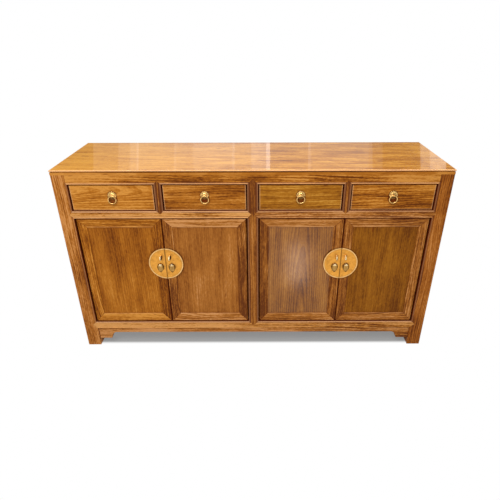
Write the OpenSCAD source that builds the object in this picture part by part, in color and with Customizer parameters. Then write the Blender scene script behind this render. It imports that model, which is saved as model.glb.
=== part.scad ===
// Long elm sideboard: four drawers over two pairs of pivot-hung doors, in a beaded mortised frame.
// Origin on the floor under the middle of the whole, +x along the front, +y to the back, +z up.

/* [Case] */
// Length of the top
case_w = 1600; // [1300:10:2000]
// Depth of the top
case_d = 450; // [400:5:560]
// Height from the floor to the top face
case_h = 864; // [800:2:960]
// Side of the square legs
leg_s = 60; // [54:1:70]
// Height of the underside of the bottom rails
floor_clear = 98; // [80:1:120]

/* [Top] */
// Thickness of the top boards
top_t = 20; // [18:1:26]
// How far the top stands past the frame
top_over = 1.5; // [1.5:0.5:6]
// Boards side by side across the depth
top_boards_n = 4; // [3:1:6]
// Width of the front board of the top, from front to back; the others share the rest
front_board_w = 130; // [80:5:180]
// Height of the round nosing on the edge of the top
nose_h = 6; // [5:1:10]
// Height of the groove under the nosing
quirk_h = 3; // [2:0.5:6]
// Depth of the groove under the nosing
quirk_d = 3; // [1:0.5:5]
// Width of the battens under the top
batten_w = 26; // [20:1:36]
// Height of the battens under the top
batten_h = 20; // [14:1:26]
// Height of the dovetail key on a batten
key_h = 6; // [4:1:9]

/* [Frame members] */
// Thickness of the front rails, the stile and the dividers
rail_t = 34; // [30:1:42]
// Height of the top rails
top_rail_h = 39; // [32:1:50]
// Height of the middle rails
mid_rail_h = 34; // [28:1:44]
// Height of the bottom rails
bottom_rail_h = 38; // [34:1:56]
// Width of the centre stile
stile_w = 46; // [40:1:56]
// Width of the dividers between the drawers
divider_w = 31; // [26:1:40]
// Height of the drawer openings
drawer_open_h = 112; // [95:1:140]
// Thickness of the side rails
side_rail_t = 28; // [26:1:36]
// Thickness of the back rails
back_rail_t = 22; // [20:1:30]
// Height of the middle rail at the back
back_mid_h = 20; // [16:1:30]
// Thickness of the mitred front layer at the joints
shoulder_t = 12; // [10:1:14]
// Thickness of the tenons
tenon_t = 10; // [8:1:12]
// Width of the bead along the edges of the openings
bead_w = 5.5; // [4:0.5:7]
// Height of the bead above the face
bead_h = 1.2; // [0.6:0.1:1.4]
// Radius of the outer corners of the legs
leg_round = 3; // [1:0.5:6]

/* [Panels and boards] */
// Depth of the grooves that hold the panels
groove_d = 8; // [6:1:10]
// Thickness of the tongues round the panels
tongue_t = 6; // [5:0.5:8]
// How far the face of a panel lies behind its frame
panel_set = 5; // [4:0.5:8]
// Step from the face of a panel to its tongue
panel_step = 3; // [2:0.5:5]
// Room left for the panels to swell at each edge
swell = 1; // [0.5:0.25:2]
// Thickness of the back panels
back_panel_t = 8; // [6:1:10]
// Thickness of the floor boards
floor_t = 12; // [10:1:16]
// Width of the rebates that carry the floor boards
rebate_w = 10; // [8:1:14]
// Thickness of the centre partition
partition_t = 18; // [15:1:24]
// Thickness of the shelves
shelf_t = 15; // [12:1:20]
// Height of the upper face of the shelves
shelf_z = 400; // [300:5:500]
// How far the shelves stay behind the frame face
shelf_set = 66; // [62:1:150]

/* [Aprons] */
// Height of the apron strip between its brackets
apron_h = 26; // [14:1:30]
// Thickness of the aprons
apron_t = 18; // [14:1:24]
// How far the aprons lie behind the frame face
apron_set = 3; // [0:0.5:8]
// Drop of the brackets below the strip
bracket_drop = 34; // [24:1:45]
// Width of the flat foot of a bracket
bracket_w = 58; // [40:1:80]
// Height of the slanted heel of a bracket
heel_h = 10; // [6:1:16]

/* [Drawers] */
// Gap at each side of a drawer front
drawer_side_gap = 4; // [1:0.5:6]
// Gap above a drawer front
drawer_top_gap = 2; // [1:0.5:4]
// Gap below a drawer front
drawer_low_gap = 1.5; // [1:0.5:3]
// How far the drawer fronts lie behind the frame face
drawer_set = 4; // [1:0.5:6]
// Thickness of the drawer fronts
front_t = 20; // [18:1:26]
// Rounding of the edges of the drawer fronts
front_round = 2; // [1:0.5:4]
// Thickness of the drawer sides and backs
side_t = 12; // [10:1:15]
// Height of the drawer sides
side_h = 90; // [70:1:92]
// Room behind a closed drawer
drawer_back_gap = 32; // [10:2:80]
// Thickness of the drawer bottoms
drawer_floor_t = 7; // [5:1:9]
// Height of the bottom groove above the lower edge
drawer_groove_z = 10; // [8:1:16]
// Tails on each corner of a drawer
tail_n = 3; // [2:1:4]
// How far the tails reach into a drawer front
lap = 14; // [10:1:16]
// Height of the runners under the drawers
runner_h = 16; // [12:1:20]
// Bearing of a runner past the inside of a drawer side
runner_in = 8; // [4:1:14]
// Height of the guides beside the drawers
guide_h = 15; // [10:1:25]
// Running gap between a drawer and its runners
run_gap = 0.3; // [0.2:0.1:0.6]
// Gap between a drawer side and its guide
guide_gap = 0.5; // [0.3:0.1:1]

/* [Doors] */
// Thickness of the doors
door_t = 22; // [20:1:25]
// Width of the members of a door frame
door_rail_w = 40; // [36:1:55]
// Width of the flat outer band on a door frame
door_flat_w = 16; // [10:1:24]
// Fall of the slope from the flat band to the panel
door_fall = 3; // [1:0.5:4]
// How far the doors lie behind the frame face
door_set = 4; // [2:0.5:5]
// Gap round a door and between the two of a pair
door_gap = 3; // [2:0.5:4]
// Distance of a pivot from the edge and face of its door
pivot_in = 8; // [7:0.5:10]
// Radius of the pivot pins
pivot_r = 5; // [4:0.5:6]
// Length of a pivot pin inside its rail
pivot_l = 10; // [8:1:14]
// Radial clearance of the pivot pins
pivot_clear = 0.05; // [0.02:0.01:0.08]
// Play above the upper pins, to lift a door off
lift = 4; // [2:0.5:6]

/* [Brass] */
// Diameter of the round plate that a pair of doors shares
plate_dia = 150; // [110:5:170]
// Thickness of the plate
plate_t = 2; // [1:0.25:3]
// Height of the plate's centre above the floor
plate_z = 444; // [400:2:520]
// How far each half plate stands past the edge of its door
plate_past = 1; // [0:0.25:1]
// Distance of a lock ear from the meeting line
ear_x = 19; // [14:0.5:24]
// Height of the lock ears above the plate's centre
ear_up = 31; // [26:1:42]
// Height of a lock ear
ear_h = 18; // [10:1:22]
// How far a lock ear stands off the plate
ear_out = 18; // [12:1:24]
// Thickness of a lock ear
ear_t = 6; // [3:0.5:8]
// Radius of the hole through a lock ear
ear_hole_r = 3; // [1.5:0.5:3.5]
// Distance of a leaf pull from the meeting line
pull_x = 25; // [22:1:34]
// Height of a leaf pull's pin relative to the plate's centre
pull_up = -2; // [-6:1:6]
// Width of a leaf pull
pull_w = 28; // [22:1:34]
// Length of a leaf pull from its pin to its point
pull_l = 39; // [34:1:50]
// Thickness of a leaf pull
pull_t = 2.4; // [1.5:0.1:3]
// Distance of a leaf pull's pin from the plate
pull_pin_out = 4.2; // [3.6:0.1:6]
// Radius of a leaf pull's pin
pull_pin_r = 1.2; // [0.8:0.1:1.5]
// Radius of the knuckle round the pin
knuckle_r = 2.6; // [2.2:0.1:3.2]
// Length of the knuckle round the pin
knuckle_l = 6; // [4:0.5:10]
// Radius of the rosettes behind the ring pulls
rosette_r = 17.5; // [14:0.5:22]
// Height of a rosette's centre above its drawer opening
rosette_up = 65; // [50:1:75]
// Petals round a rosette
petal_n = 12; // [6:1:16]
// Outer radius of a ring pull
ring_r = 18; // [14:0.5:24]
// Radius of the wire of a ring pull
wire_r = 2.3; // [1.5:0.1:3]
// Distance of the ring's eye from the drawer front
eye_out = 8; // [7:0.5:11]
// Drop of the eye below the rosette's centre
eye_drop = 0; // [0:0.5:8]
// Clearance of the wire in its eye
eye_clear = 0.4; // [0.3:0.05:0.8]
// Thickness of the eye along the front
eye_t = 3.2; // [2:0.2:4]

/* [Hidden] */
$fn = 48;

// Colours of the wood and the brass
elm = "#b06a22";
elm_dark = "#9a5a1c";
elm_inner = "#c99a5c";
brass = "#d9a441";
bronze = "#8a6a2a";

// Depth positions: the ears stand in front of the top, and the whole is centred on the origin
ears_past = ear_out + plate_t - door_set - top_over;
face_y = ears_past + top_over - (case_d + ears_past) / 2;
frame_d = case_d - top_over;
back_y = face_y + frame_d;

// Widths of the frame and its openings
frame_w = case_w - 2 * top_over;
open_x = frame_w / 2 - leg_s;
half_open_w = open_x - stile_w / 2;
mid_x = (open_x + stile_w / 2) / 2;
drawer_open_w = (half_open_w - divider_w) / 2;

// Heights of the rails
top_z = case_h - top_t;
top_rail_z = top_z - top_rail_h;
mid_rail_z = top_rail_z - drawer_open_h - mid_rail_h;
drawer_z = mid_rail_z + mid_rail_h;
door_open_z = floor_clear + bottom_rail_h;
door_open_h = mid_rail_z - door_open_z;
back_mid_z = drawer_z - back_mid_h;
floor_z = door_open_z - floor_t;

// Joints: a tenon lies behind the mitred layer, and those of two rails don't meet in a leg
glue = 0.05;
mortise_end = 1;
mortise_wall = 3;
tenon_y = shoulder_t + 1;
tenon_wall = 5;
tenon_edge = groove_d + 1;
leg_tenon_l = leg_s - tenon_y - tenon_t - mortise_wall - mortise_end;
stile_tenon_l = stile_w / 2 - mortise_wall - mortise_end;
divider_tenon_l = 16;
leg_top_tenon = 24;
leg_top_tenon_h = 12;
groove_y = panel_set + panel_step;
bead_r = bead_w / 2;

// Battens: places as shares of the length, stub tenons and dovetail keys
batten_x = [-0.41, -0.25, -0.09, 0.09, 0.25, 0.41];
batten_tenon_l = 10;
batten_tenon_w = 14;
batten_tenon_edge = 5;
key_in = 3;
key_flare = 3;
key_stop = 2;

// Back frame
back_tenon_l = 24;
back_groove_d = 6;
back_groove_y = (back_rail_t - back_panel_t) / 2;
back_rebate = 5;
back_rails = [[floor_clear, bottom_rail_h], [back_mid_z, back_mid_h], [top_rail_z, top_rail_h]];
back_spans = [[door_open_z, back_mid_z], [drawer_z, top_rail_z]];

// Fittings inside
bearer_w = 40;
bearer_h = 18;
side_guide_w = 14;
shelf_gap = 0.5;
cleat_w = 20;
cleat_h = 15;
cleat_in = 6;
stop_w = 50;
stop_h = 16;
drawer_stop_h = 6;

// Aprons
heel_slant = 3;
cove_in = 5;
cove_r = bracket_drop - heel_h;

// Drawers
drawer_w = drawer_open_w - 2 * drawer_side_gap;
front_h = drawer_open_h - drawer_top_gap - drawer_low_gap;
drawer_l = frame_d - drawer_set - back_rail_t - drawer_back_gap;
drawer_x = [-1, -1, 1, 1] * mid_x + [-1, 1, -1, 1] * (drawer_open_w + divider_w) / 2;
side_z = run_gap - drawer_low_gap;
tail_slope = 2;
box_groove_d = 5;
back_board_z = drawer_groove_z + drawer_floor_t;

// Rosettes of the drawers
rosette_t = 1.4;
petal_r = 1.1 * rosette_r * sin(180 / petal_n);
boss_t = 4;
boss_low_r = 0.62 * rosette_r;
boss_high_r = 0.3 * rosette_r;
eye_r = wire_r + eye_clear;
eye_wall = 2.4;

// Doors: the first and third hang on the left, the others on the right
door_w = (half_open_w - 3 * door_gap) / 2;
door_h = door_open_h - 2 * door_gap;
door_z = door_open_z + door_gap;
pivot_x = stile_w / 2 + door_gap + pivot_in;
pivot_outer_x = open_x - door_gap - pivot_in;
door_pin_x = [-pivot_outer_x, -pivot_x, pivot_x, pivot_outer_x];
door_flip = [0, 1, 0, 1];
door_y = face_y + door_set;
door_tenon_z = 10;
door_tenon_x = pivot_in + pivot_r + 1;

// Leaf pulls and their lugs
lug_t = 1.6;
lug_gap = 0.4;
lug_r = 0.8 * knuckle_r;
pin_clear = 0.05;
lobe_x = 4.6;
lobe_r = pull_w / 2 - lobe_x;
lobe_top = lug_r + lug_gap;

// Half-round beads and a square bar as a cross-section: face on the y axis, height along y
module bar_section(h, d, low, high, groove_low, groove_high) {
  difference() {
    union() {
      square([d, h]);
      if (low) translate([bead_r - bead_h, bead_r]) circle(r = bead_r);
      if (high) translate([bead_r - bead_h, h - bead_r]) circle(r = bead_r);
    }
    if (groove_low) translate([groove_y, -1]) square([tongue_t, groove_d + 1]);
    if (groove_high) translate([groove_y, h - groove_d]) square([tongue_t, groove_d + 1]);
  }
}

// Bar along x about its middle, face at y = 0, from z = 0 up
module bar(len, h, d, low = false, high = false, groove_low = false, groove_high = false) {
  rotate([90, 0, 90])
    linear_extrude(len, center = true)
      bar_section(h, d, low, high, groove_low, groove_high);
}

// Mitred end of the front layer past the shoulder at x = 0: a full point or the width of a bead
module point_shape(h, kind) {
  if (kind == "point") polygon([[-1, 0], [0, 0], [h / 2, h / 2], [0, h], [-1, h]]);
  if (kind == "bead_low") polygon([[-1, 0], [0, 0], [bead_w, bead_w], [bead_w, h], [-1, h]]);
  if (kind == "bead_high") polygon([[-1, 0], [bead_w, 0], [bead_w, h - bead_w], [0, h], [-1, h]]);
}

// The same end as a prism through the bead and the front layer
module point_prism(h, kind, over) {
  translate([0, shoulder_t, 0])
    rotate([90, 0, 0])
      linear_extrude(shoulder_t + bead_h + over)
        point_shape(h, kind);
}

// Tenon past the shoulder at x = 0
module tenon(h, len, d = rail_t, edge = tenon_edge) {
  y = min(tenon_y, d - tenon_t - tenon_wall);
  translate([-1, y, edge]) cube([len + 1, tenon_t, h - 2 * edge]);
}

// Room for a mitred end and its tenon in the member that receives them
module joint_cut(h, kind, len, d = rail_t) {
  point_prism(h, kind, 1);
  tenon(h, len + mortise_end, d);
}

// Member along x between shoulders, with mitred points and tenons at both ends
module member(len, h, kind, tenon_l, low, high, d = rail_t, groove_low = false, groove_high = false) {
  reach = (kind == "point") ? h / 2 : bead_w;
  bar(len, h, d, low, high, groove_low, groove_high);
  for (side = [0, 1]) mirror([side, 0, 0]) translate([len / 2, 0, 0]) {
    intersection() {
      translate([reach / 2, 0, 0]) bar(reach + 2, h, d, low, high, groove_low, groove_high);
      point_prism(h, kind, 0);
    }
    tenon(h, tenon_l, d);
  }
}

// Member that stands up: its width runs along x, centred
module post(len, w, kind, tenon_l) {
  translate([-w / 2, 0, 0])
    rotate([0, -90, 0])
      mirror([0, 0, 1])
        translate([len / 2, 0, 0])
          member(len, w, kind, tenon_l, true, true);
}

// Places a horizontal front member with its face on the frame face
module at_front(x, z) {
  translate([x, face_y, z]) children();
}

// Turns a front-style shape to the left side of the case, running from front to back
module at_left(z) {
  translate([-frame_w / 2, face_y + frame_d / 2, z]) rotate([0, 0, -90]) children();
}

// Turns a front-style shape to the back of the case
module at_back(x, z) {
  translate([x, back_y, z]) rotate([0, 0, 180]) children();
}

// Floating panel with a tongue on all sides, face at y = panel_set, about its middle in x
module floating_panel(w, h) {
  reach = groove_d - swell;
  translate([-w / 2, panel_set, 0]) cube([w, panel_step + tongue_t, h]);
  translate([-w / 2 - reach, groove_y, -reach]) cube([w + 2 * reach, tongue_t, h + 2 * reach]);
}

// Front left leg with its corner on the frame's corner, without cuts for the joints
module leg_blank(front_bead) {
  linear_extrude(top_z) difference() {
    square(leg_s);
    difference() {
      translate([-1, -1]) square(leg_round + 1);
      translate([leg_round, leg_round]) circle(r = leg_round);
    }
  }
  bead_z = door_open_z - bead_w;
  bead_l = top_rail_z - door_open_z + 2 * bead_w;
  low_z = floor_clear + bottom_rail_h / 2;
  if (front_bead) translate([leg_s - bead_r, bead_r - bead_h, low_z])
    cylinder(r = bead_r, h = top_rail_z + bead_w - low_z);
  translate([bead_r - bead_h, leg_s - bead_r, bead_z]) cylinder(r = bead_r, h = bead_l);
  translate([(leg_s - leg_top_tenon) / 2, (leg_s - leg_top_tenon) / 2, top_z - 1])
    cube([leg_top_tenon, leg_top_tenon, leg_top_tenon_h + 1]);
}

// Cuts in a leg for the rails of the side frame and the panel groove
module leg_side_cuts() {
  for (rail = [[floor_clear, bottom_rail_h, "bead_high"], [top_rail_z, top_rail_h, "bead_low"]])
    translate([0, leg_s, rail[0]])
      rotate([0, 0, -90])
        joint_cut(rail[1], rail[2], leg_tenon_l, side_rail_t);
  translate([groove_y, leg_s - groove_d, door_open_z - groove_d])
    cube([tongue_t, groove_d + 1, top_rail_z - door_open_z + 2 * groove_d]);
}

// Front left leg: rails enter it from the right and from behind
module leg_front() {
  difference() {
    leg_blank(true);
    for (rail = [
      [floor_clear, bottom_rail_h, "point"],
      [mid_rail_z, mid_rail_h, "point"],
      [top_rail_z, top_rail_h, "bead_low"]
    ])
      translate([leg_s, 0, rail[0]]) mirror([1, 0, 0]) joint_cut(rail[1], rail[2], leg_tenon_l);
    leg_side_cuts();
  }
}

// Back left leg, drawn facing the back: back rails enter it with plain tenons
module leg_back() {
  difference() {
    leg_blank(false);
    for (rail = back_rails)
      translate([leg_s, 0, rail[0]])
        mirror([1, 0, 0])
          tenon(rail[1], back_tenon_l + mortise_end, back_rail_t, back_groove_d);
    translate([leg_s - groove_d, back_groove_y, door_open_z - groove_d])
      cube([groove_d + 1, back_panel_t, top_rail_z - door_open_z + 2 * groove_d]);
    leg_side_cuts();
  }
}

// Leg at one corner: side -1 is left, and the back pair faces the back
module leg(side, back) {
  color(elm)
    mirror([side > 0 ? 1 : 0, 0, 0])
      translate([-frame_w / 2, back ? back_y : face_y, 0])
        mirror([0, back ? 1 : 0, 0])
          if (back) leg_back(); else leg_front();
}

// Outline of the edge of the top at one end: nosing, groove and the strip below, outward along -x
module edge_section(len) {
  nose_r = nose_h / 2;
  difference() {
    union() {
      translate([nose_r, top_t - nose_r]) circle(r = nose_r);
      translate([nose_r, 0]) square([len - nose_r, top_t]);
      translate([top_over, 0]) square([nose_r, top_t - nose_h - quirk_h]);
    }
    translate([0, top_t - nose_h - quirk_h]) square([top_over + quirk_d, quirk_h]);
  }
}

// The whole top as one blank: nosing on the front and both ends, a square edge at the back
module top_blank() {
  intersection() {
    translate([0, case_d, 0])
      rotate([90, 0, 0])
        linear_extrude(case_d)
          for (side = [0, 1]) mirror([side, 0]) translate([-case_w / 2, 0]) edge_section(case_w / 2);
    translate([-case_w / 2, 0, 0])
      rotate([90, 0, 90])
        linear_extrude(case_w)
          edge_section(case_d);
  }
}

// Dovetail key of a batten as a cross-section about x = 0, from y = 0 up
module key_section() {
  w = batten_w - 2 * key_in;
  polygon([[-w / 2, 0], [w / 2, 0], [w / 2 + key_flare, key_h], [-w / 2 - key_flare, key_h]]);
}

// Dovetail key or its housing, from behind the front rail to the back edge of the top
module batten_key(x) {
  translate([x, face_y + frame_d, top_z])
    rotate([90, 0, 0])
      linear_extrude(frame_d - rail_t - key_stop)
        key_section();
}

// Top boards side by side, joined across by the dovetailed battens
module top_boards() {
  board_w = (case_d - front_board_w) / (top_boards_n - 1);
  color(elm) difference() {
    for (i = [0 : top_boards_n - 1]) intersection() {
      from = (i == 0) ? 0 : front_board_w + (i - 1) * board_w;
      width = (i == 0) ? front_board_w : board_w;
      translate([0, face_y - top_over, top_z]) top_blank();
      translate([-case_w / 2, face_y - top_over + from, top_z])
        cube([case_w, width - (i < top_boards_n - 1 ? glue : 0), top_t]);
    }
    for (k = batten_x) batten_key(k * case_w);
    for (side = [-1, 1], y = [face_y + leg_s / 2, back_y - leg_s / 2])
      translate([side * (frame_w - leg_s) / 2 - leg_top_tenon / 2, y - leg_top_tenon / 2, top_z - 1])
        cube([leg_top_tenon, leg_top_tenon, leg_top_tenon_h + 1]);
  }
}

// Stub tenon at each end of a batten, or the mortise for it
module batten_tenons(x) {
  len = frame_d - rail_t - back_rail_t + 2 * batten_tenon_l;
  translate([x - batten_tenon_w / 2, face_y + rail_t - batten_tenon_l, top_z - batten_h + batten_tenon_edge])
    cube([batten_tenon_w, len, batten_h - 2 * batten_tenon_edge]);
}

module top_battens() {
  color(elm_inner) for (k = batten_x) {
    x = k * case_w;
    translate([x - batten_w / 2, face_y + rail_t, top_z - batten_h])
      cube([batten_w, frame_d - rail_t - back_rail_t, batten_h]);
    batten_tenons(x);
    batten_key(x);
  }
}

// Cut in a rail for an upright of width w: from above when up is 1, from below when it is 0
module upright_cut(w, len, up) {
  translate([-w / 2, 0, 0])
    mirror([0, 0, up])
      rotate([0, -90, 0])
        mirror([0, 0, 1])
          joint_cut(w, "point", len);
}

module rail_front_top() {
  color(elm) difference() {
    at_front(0, top_rail_z) member(2 * open_x, top_rail_h, "bead_low", leg_tenon_l, true, false);
    at_front(0, top_rail_z) upright_cut(stile_w, stile_tenon_l, 0);
    for (side = [-1, 1]) at_front(side * mid_x, top_rail_z) upright_cut(divider_w, divider_tenon_l, 0);
    for (k = batten_x) batten_tenons(k * case_w);
  }
}

// Middle rail over one pair of doors: mortise for the divider above, pivot sockets below
module rail_front_mid(side) {
  x = side * (stile_w / 2 + half_open_w / 2);
  color(elm) difference() {
    at_front(x, mid_rail_z)
      mid_member();
    at_front(side * mid_x, drawer_z) upright_cut(divider_w, divider_tenon_l, 1);
    for (px = [pivot_x, pivot_outer_x]) translate([side * px, door_y + pivot_in, mid_rail_z - 1])
      cylinder(r = pivot_r + pivot_clear, h = 1 + pivot_l + lift);
  }
}

module mid_member() {
  member(half_open_w, mid_rail_h, "point", stile_tenon_l, true, true);
}

// Bottom rail with the rebate for the floor, the mortise for the stile and the pivot sockets
module rail_front_bottom() {
  color(elm) difference() {
    at_front(0, floor_clear) member(2 * open_x, bottom_rail_h, "point", leg_tenon_l, true, true);
    translate([-open_x - 1, face_y + rail_t - rebate_w, floor_z])
      cube([2 * open_x + 2, rebate_w + 1, floor_t + 1]);
    at_front(0, door_open_z) upright_cut(stile_w, stile_tenon_l, 1);
    for (px = door_pin_x) translate([px, door_y + pivot_in, door_open_z - pivot_l - run_gap])
      cylinder(r = pivot_r + pivot_clear, h = pivot_l + run_gap + 1);
  }
}

// Centre stile with mitred points up and down and the cuts for the middle rails
module stile_front_centre() {
  color(elm) difference() {
    at_front(0, door_open_z) post(top_rail_z - door_open_z, stile_w, "point", stile_tenon_l);
    for (side = [0, 1]) mirror([side, 0, 0]) at_front(stile_w / 2, mid_rail_z)
      mirror([1, 0, 0])
        joint_cut(mid_rail_h, "point", stile_tenon_l);
  }
}

module drawer_dividers() {
  color(elm) for (side = [-1, 1])
    at_front(side * mid_x, drawer_z) post(drawer_open_h, divider_w, "point", divider_tenon_l);
}

// Apron between two legs as an outline: strip, brackets with a slanted heel and a coved shoulder
module apron_shape(len) {
  translate([-len / 2, -apron_h]) square([len, apron_h]);
  for (side = [0, 1]) mirror([side, 0]) translate([-len / 2, -apron_h - bracket_drop]) {
    polygon([[0, 0], [bracket_w, 0], [bracket_w + heel_slant, heel_h], [0, heel_h]]);
    difference() {
      translate([0, heel_h]) square([bracket_w + cove_in + cove_r, cove_r]);
      translate([bracket_w + cove_in + cove_r, heel_h]) circle(r = cove_r);
    }
  }
}

// Apron under a rail, its face set back from the frame face
module apron(len) {
  translate([0, apron_set + apron_t, 0]) rotate([90, 0, 0]) linear_extrude(apron_t) apron_shape(len);
}

module apron_front() {
  color(elm) at_front(0, floor_clear) apron(2 * open_x);
}

module aprons_side() {
  color(elm) for (side = [0, 1]) mirror([side, 0, 0]) at_left(floor_clear) apron(frame_d - 2 * leg_s);
}

// Side rails: the bottom one has the rebate for the floor boards
module rails_side(side) {
  len = frame_d - 2 * leg_s;
  color(elm) mirror([side > 0 ? 1 : 0, 0, 0]) {
    at_left(top_rail_z)
      member(len, top_rail_h, "bead_low", leg_tenon_l, true, false, side_rail_t, true, false);
    difference() {
      at_left(floor_clear)
        member(len, bottom_rail_h, "bead_high", leg_tenon_l, false, true, side_rail_t, false, true);
      translate([-frame_w / 2 + side_rail_t - rebate_w, face_y + leg_s, floor_z])
        cube([rebate_w + 1, len, floor_t + 1]);
    }
  }
}

module panel_side(side) {
  color(elm) mirror([side > 0 ? 1 : 0, 0, 0])
    at_left(door_open_z) floating_panel(frame_d - 2 * leg_s, top_rail_z - door_open_z);
}

// Back rails between the back legs, grooved for the back panels
module rails_back() {
  color(elm_dark) difference() {
    union() for (rail = back_rails) at_back(0, rail[0]) {
      bar(2 * open_x, rail[1], back_rail_t);
      for (side = [0, 1]) mirror([side, 0, 0]) translate([open_x, 0, 0])
        tenon(rail[1], back_tenon_l, back_rail_t, back_groove_d);
    }
    for (z = [door_open_z, drawer_z])
      at_back(0, z) translate([-open_x - 1, back_groove_y, -back_groove_d])
        cube([2 * open_x + 2, back_panel_t, back_groove_d + 1]);
    for (z = [back_mid_z, top_rail_z])
      at_back(0, z) translate([-open_x - 1, back_groove_y, -1])
        cube([2 * open_x + 2, back_panel_t, back_groove_d + 1]);
    translate([-open_x - 1, back_y - back_rail_t - 1, floor_z])
      cube([2 * open_x + 2, back_rebate + 1, floor_t + 1]);
    for (k = batten_x) batten_tenons(k * case_w);
  }
}

// Centre stile of the back in two lengths, between the rails
module stile_back() {
  color(elm_dark) difference() {
    for (span = back_spans)
      at_back(0, span[0]) translate([-stile_w / 2, 0, 0]) cube([stile_w, back_rail_t, span[1] - span[0]]);
    for (side = [0, 1]) mirror([side, 0, 0])
      at_back(0, door_open_z) translate([stile_w / 2 - back_groove_d, back_groove_y, -1])
        cube([back_groove_d + 1, back_panel_t, top_rail_z - door_open_z + 2]);
  }
}

module panels_back() {
  in = back_groove_d - swell;
  color(elm_inner) for (side = [-1, 1], span = back_spans)
    at_back(side * (stile_w / 2 + half_open_w / 2), span[0])
      translate([-half_open_w / 2 - in, back_groove_y, -in])
        cube([half_open_w + 2 * in, back_panel_t, span[1] - span[0] + 2 * in]);
}

// Floor boards in the rebates, short ones between the legs and long ones between them, on a bearer
module floor_boards() {
  front = face_y + rail_t - rebate_w;
  back = back_y - back_rail_t + back_rebate;
  split = face_y + frame_d / 2;
  long_w = frame_w / 2 - side_rail_t + rebate_w;
  color(elm_inner) {
    for (row = [
      [front, face_y + leg_s, open_x],
      [face_y + leg_s, split, long_w],
      [split, back_y - leg_s, long_w],
      [back_y - leg_s, back, open_x]
    ])
      translate([-row[2], row[0], floor_z]) cube([2 * row[2], row[1] - row[0] - glue, floor_t]);
    translate([-bearer_w / 2, face_y + rail_t, floor_z - glue - bearer_h])
      cube([bearer_w, frame_d - rail_t - back_rail_t, bearer_h]);
  }
}

module partition_centre() {
  color(elm_inner) translate([-partition_t / 2, face_y + rail_t, door_open_z])
    cube([partition_t, frame_d - rail_t - back_rail_t, top_z - door_open_z]);
}

// Runners under the drawer sides, with guides beside them, from the front rails to the back rail
module drawer_runners() {
  y = face_y + rail_t;
  len = frame_d - rail_t - back_rail_t;
  under = drawer_side_gap + side_t + runner_in;
  in = drawer_side_gap - guide_gap;
  color(elm_inner) for (side = [0, 1]) mirror([side, 0, 0]) {
    translate([-open_x, y, drawer_z - runner_h]) cube([under, len, runner_h]);
    translate([-open_x - side_guide_w, face_y + leg_s, drawer_z - runner_h]) {
      cube([side_guide_w - glue, frame_d - 2 * leg_s, runner_h + guide_h]);
      translate([0, 0, runner_h + glue]) cube([side_guide_w + in, frame_d - 2 * leg_s, guide_h - glue]);
    }
    translate([-mid_x - divider_w / 2 - under, y, drawer_z - runner_h])
      cube([divider_w + 2 * under, len, runner_h]);
    translate([-mid_x - divider_w / 2 - in, y, drawer_z + glue]) cube([divider_w + 2 * in, len, guide_h]);
    translate([-stile_w / 2 - under, y, drawer_z - runner_h])
      cube([stile_w / 2 + under - partition_t / 2, len, runner_h]);
    translate([-stile_w / 2 - in, y, drawer_z + glue])
      cube([stile_w / 2 + in - partition_t / 2, len, guide_h]);
  }
}

module shelves() {
  y = face_y + shelf_set;
  color(elm_inner) for (side = [0, 1]) mirror([side, 0, 0])
    translate([-open_x + shelf_gap, y, shelf_z - shelf_t])
      cube([open_x - partition_t / 2 - 2 * shelf_gap, back_y - back_rail_t - shelf_gap - y, shelf_t]);
}

// Cleats under the shelves: one on the partition, one between the legs of a side
module shelf_cleats() {
  z = shelf_z - shelf_t - cleat_h;
  color(elm_inner) for (side = [0, 1]) mirror([side, 0, 0]) {
    translate([-partition_t / 2 - cleat_w, face_y + shelf_set + cleat_in, z])
      cube([cleat_w, frame_d - shelf_set - back_rail_t - 2 * cleat_in, cleat_h]);
    translate([-open_x - cleat_w / 2, face_y + leg_s, z])
      cube([1.5 * cleat_w, frame_d - 2 * leg_s, cleat_h]);
  }
}

// Blocks that the doors shut against, under the middle rails, and those for the drawer fronts on them
module stop_blocks() {
  door_back = door_y + door_t + run_gap;
  front_back = face_y + drawer_set + front_t + run_gap;
  color(elm_inner) {
    for (side = [-1, 1]) translate([side * mid_x - stop_w / 2, door_back, mid_rail_z - stop_h])
      cube([stop_w, face_y + rail_t - door_back, stop_h]);
    for (x = drawer_x, side = [-1, 1])
      translate([x + side * drawer_w / 4 - stop_w / 2, front_back, drawer_z])
        cube([stop_w, face_y + rail_t - front_back, drawer_stop_h]);
  }
}

// Tails at the end of a drawer side as an outline: depth along x from the shoulder, height along y
module tails(h, depth, grow = 0) {
  pitch = h / tail_n;
  root = pitch / 4 + grow;
  tip = root + tail_slope;
  for (i = [0 : tail_n - 1]) translate([0, (i + 0.5) * pitch])
    polygon([[-1, -root], [0, -root], [depth, -tip], [depth, tip], [0, root], [-1, root]]);
}

// Tails of one side, reaching towards the front when dir is 0 and the back when it is 1
module tail_block(h, depth, dir, grow = 0) {
  translate([-grow, 0, 0])
    mirror([0, 1 - dir, 0])
      rotate([90, 0, 90])
        linear_extrude(side_t + 2 * grow)
          tails(h, depth + grow, grow);
}

// Places a drawer with its front's lower left corner at the origin
module at_drawer(i) {
  translate([drawer_x[i] - drawer_w / 2, face_y + drawer_set, drawer_z + drawer_low_gap]) children();
}

// Drawer front: rounded edges, sockets for the tails and a groove for the bottom
module drawer_front(i) {
  color(elm) at_drawer(i) difference() {
    intersection() {
      rotate([90, 0, 90]) linear_extrude(drawer_w) round_front(front_h);
      mirror([1, 0, 0]) rotate([0, 0, 90]) linear_extrude(front_h) round_front(drawer_w);
    }
    for (x = [0, drawer_w - side_t]) translate([x, front_t, side_z]) tail_block(side_h, lap, 0);
    translate([side_t - box_groove_d, front_t - box_groove_d, side_z + drawer_groove_z])
      cube([drawer_w - 2 * (side_t - box_groove_d), box_groove_d + 1, drawer_floor_t]);
  }
}

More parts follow.
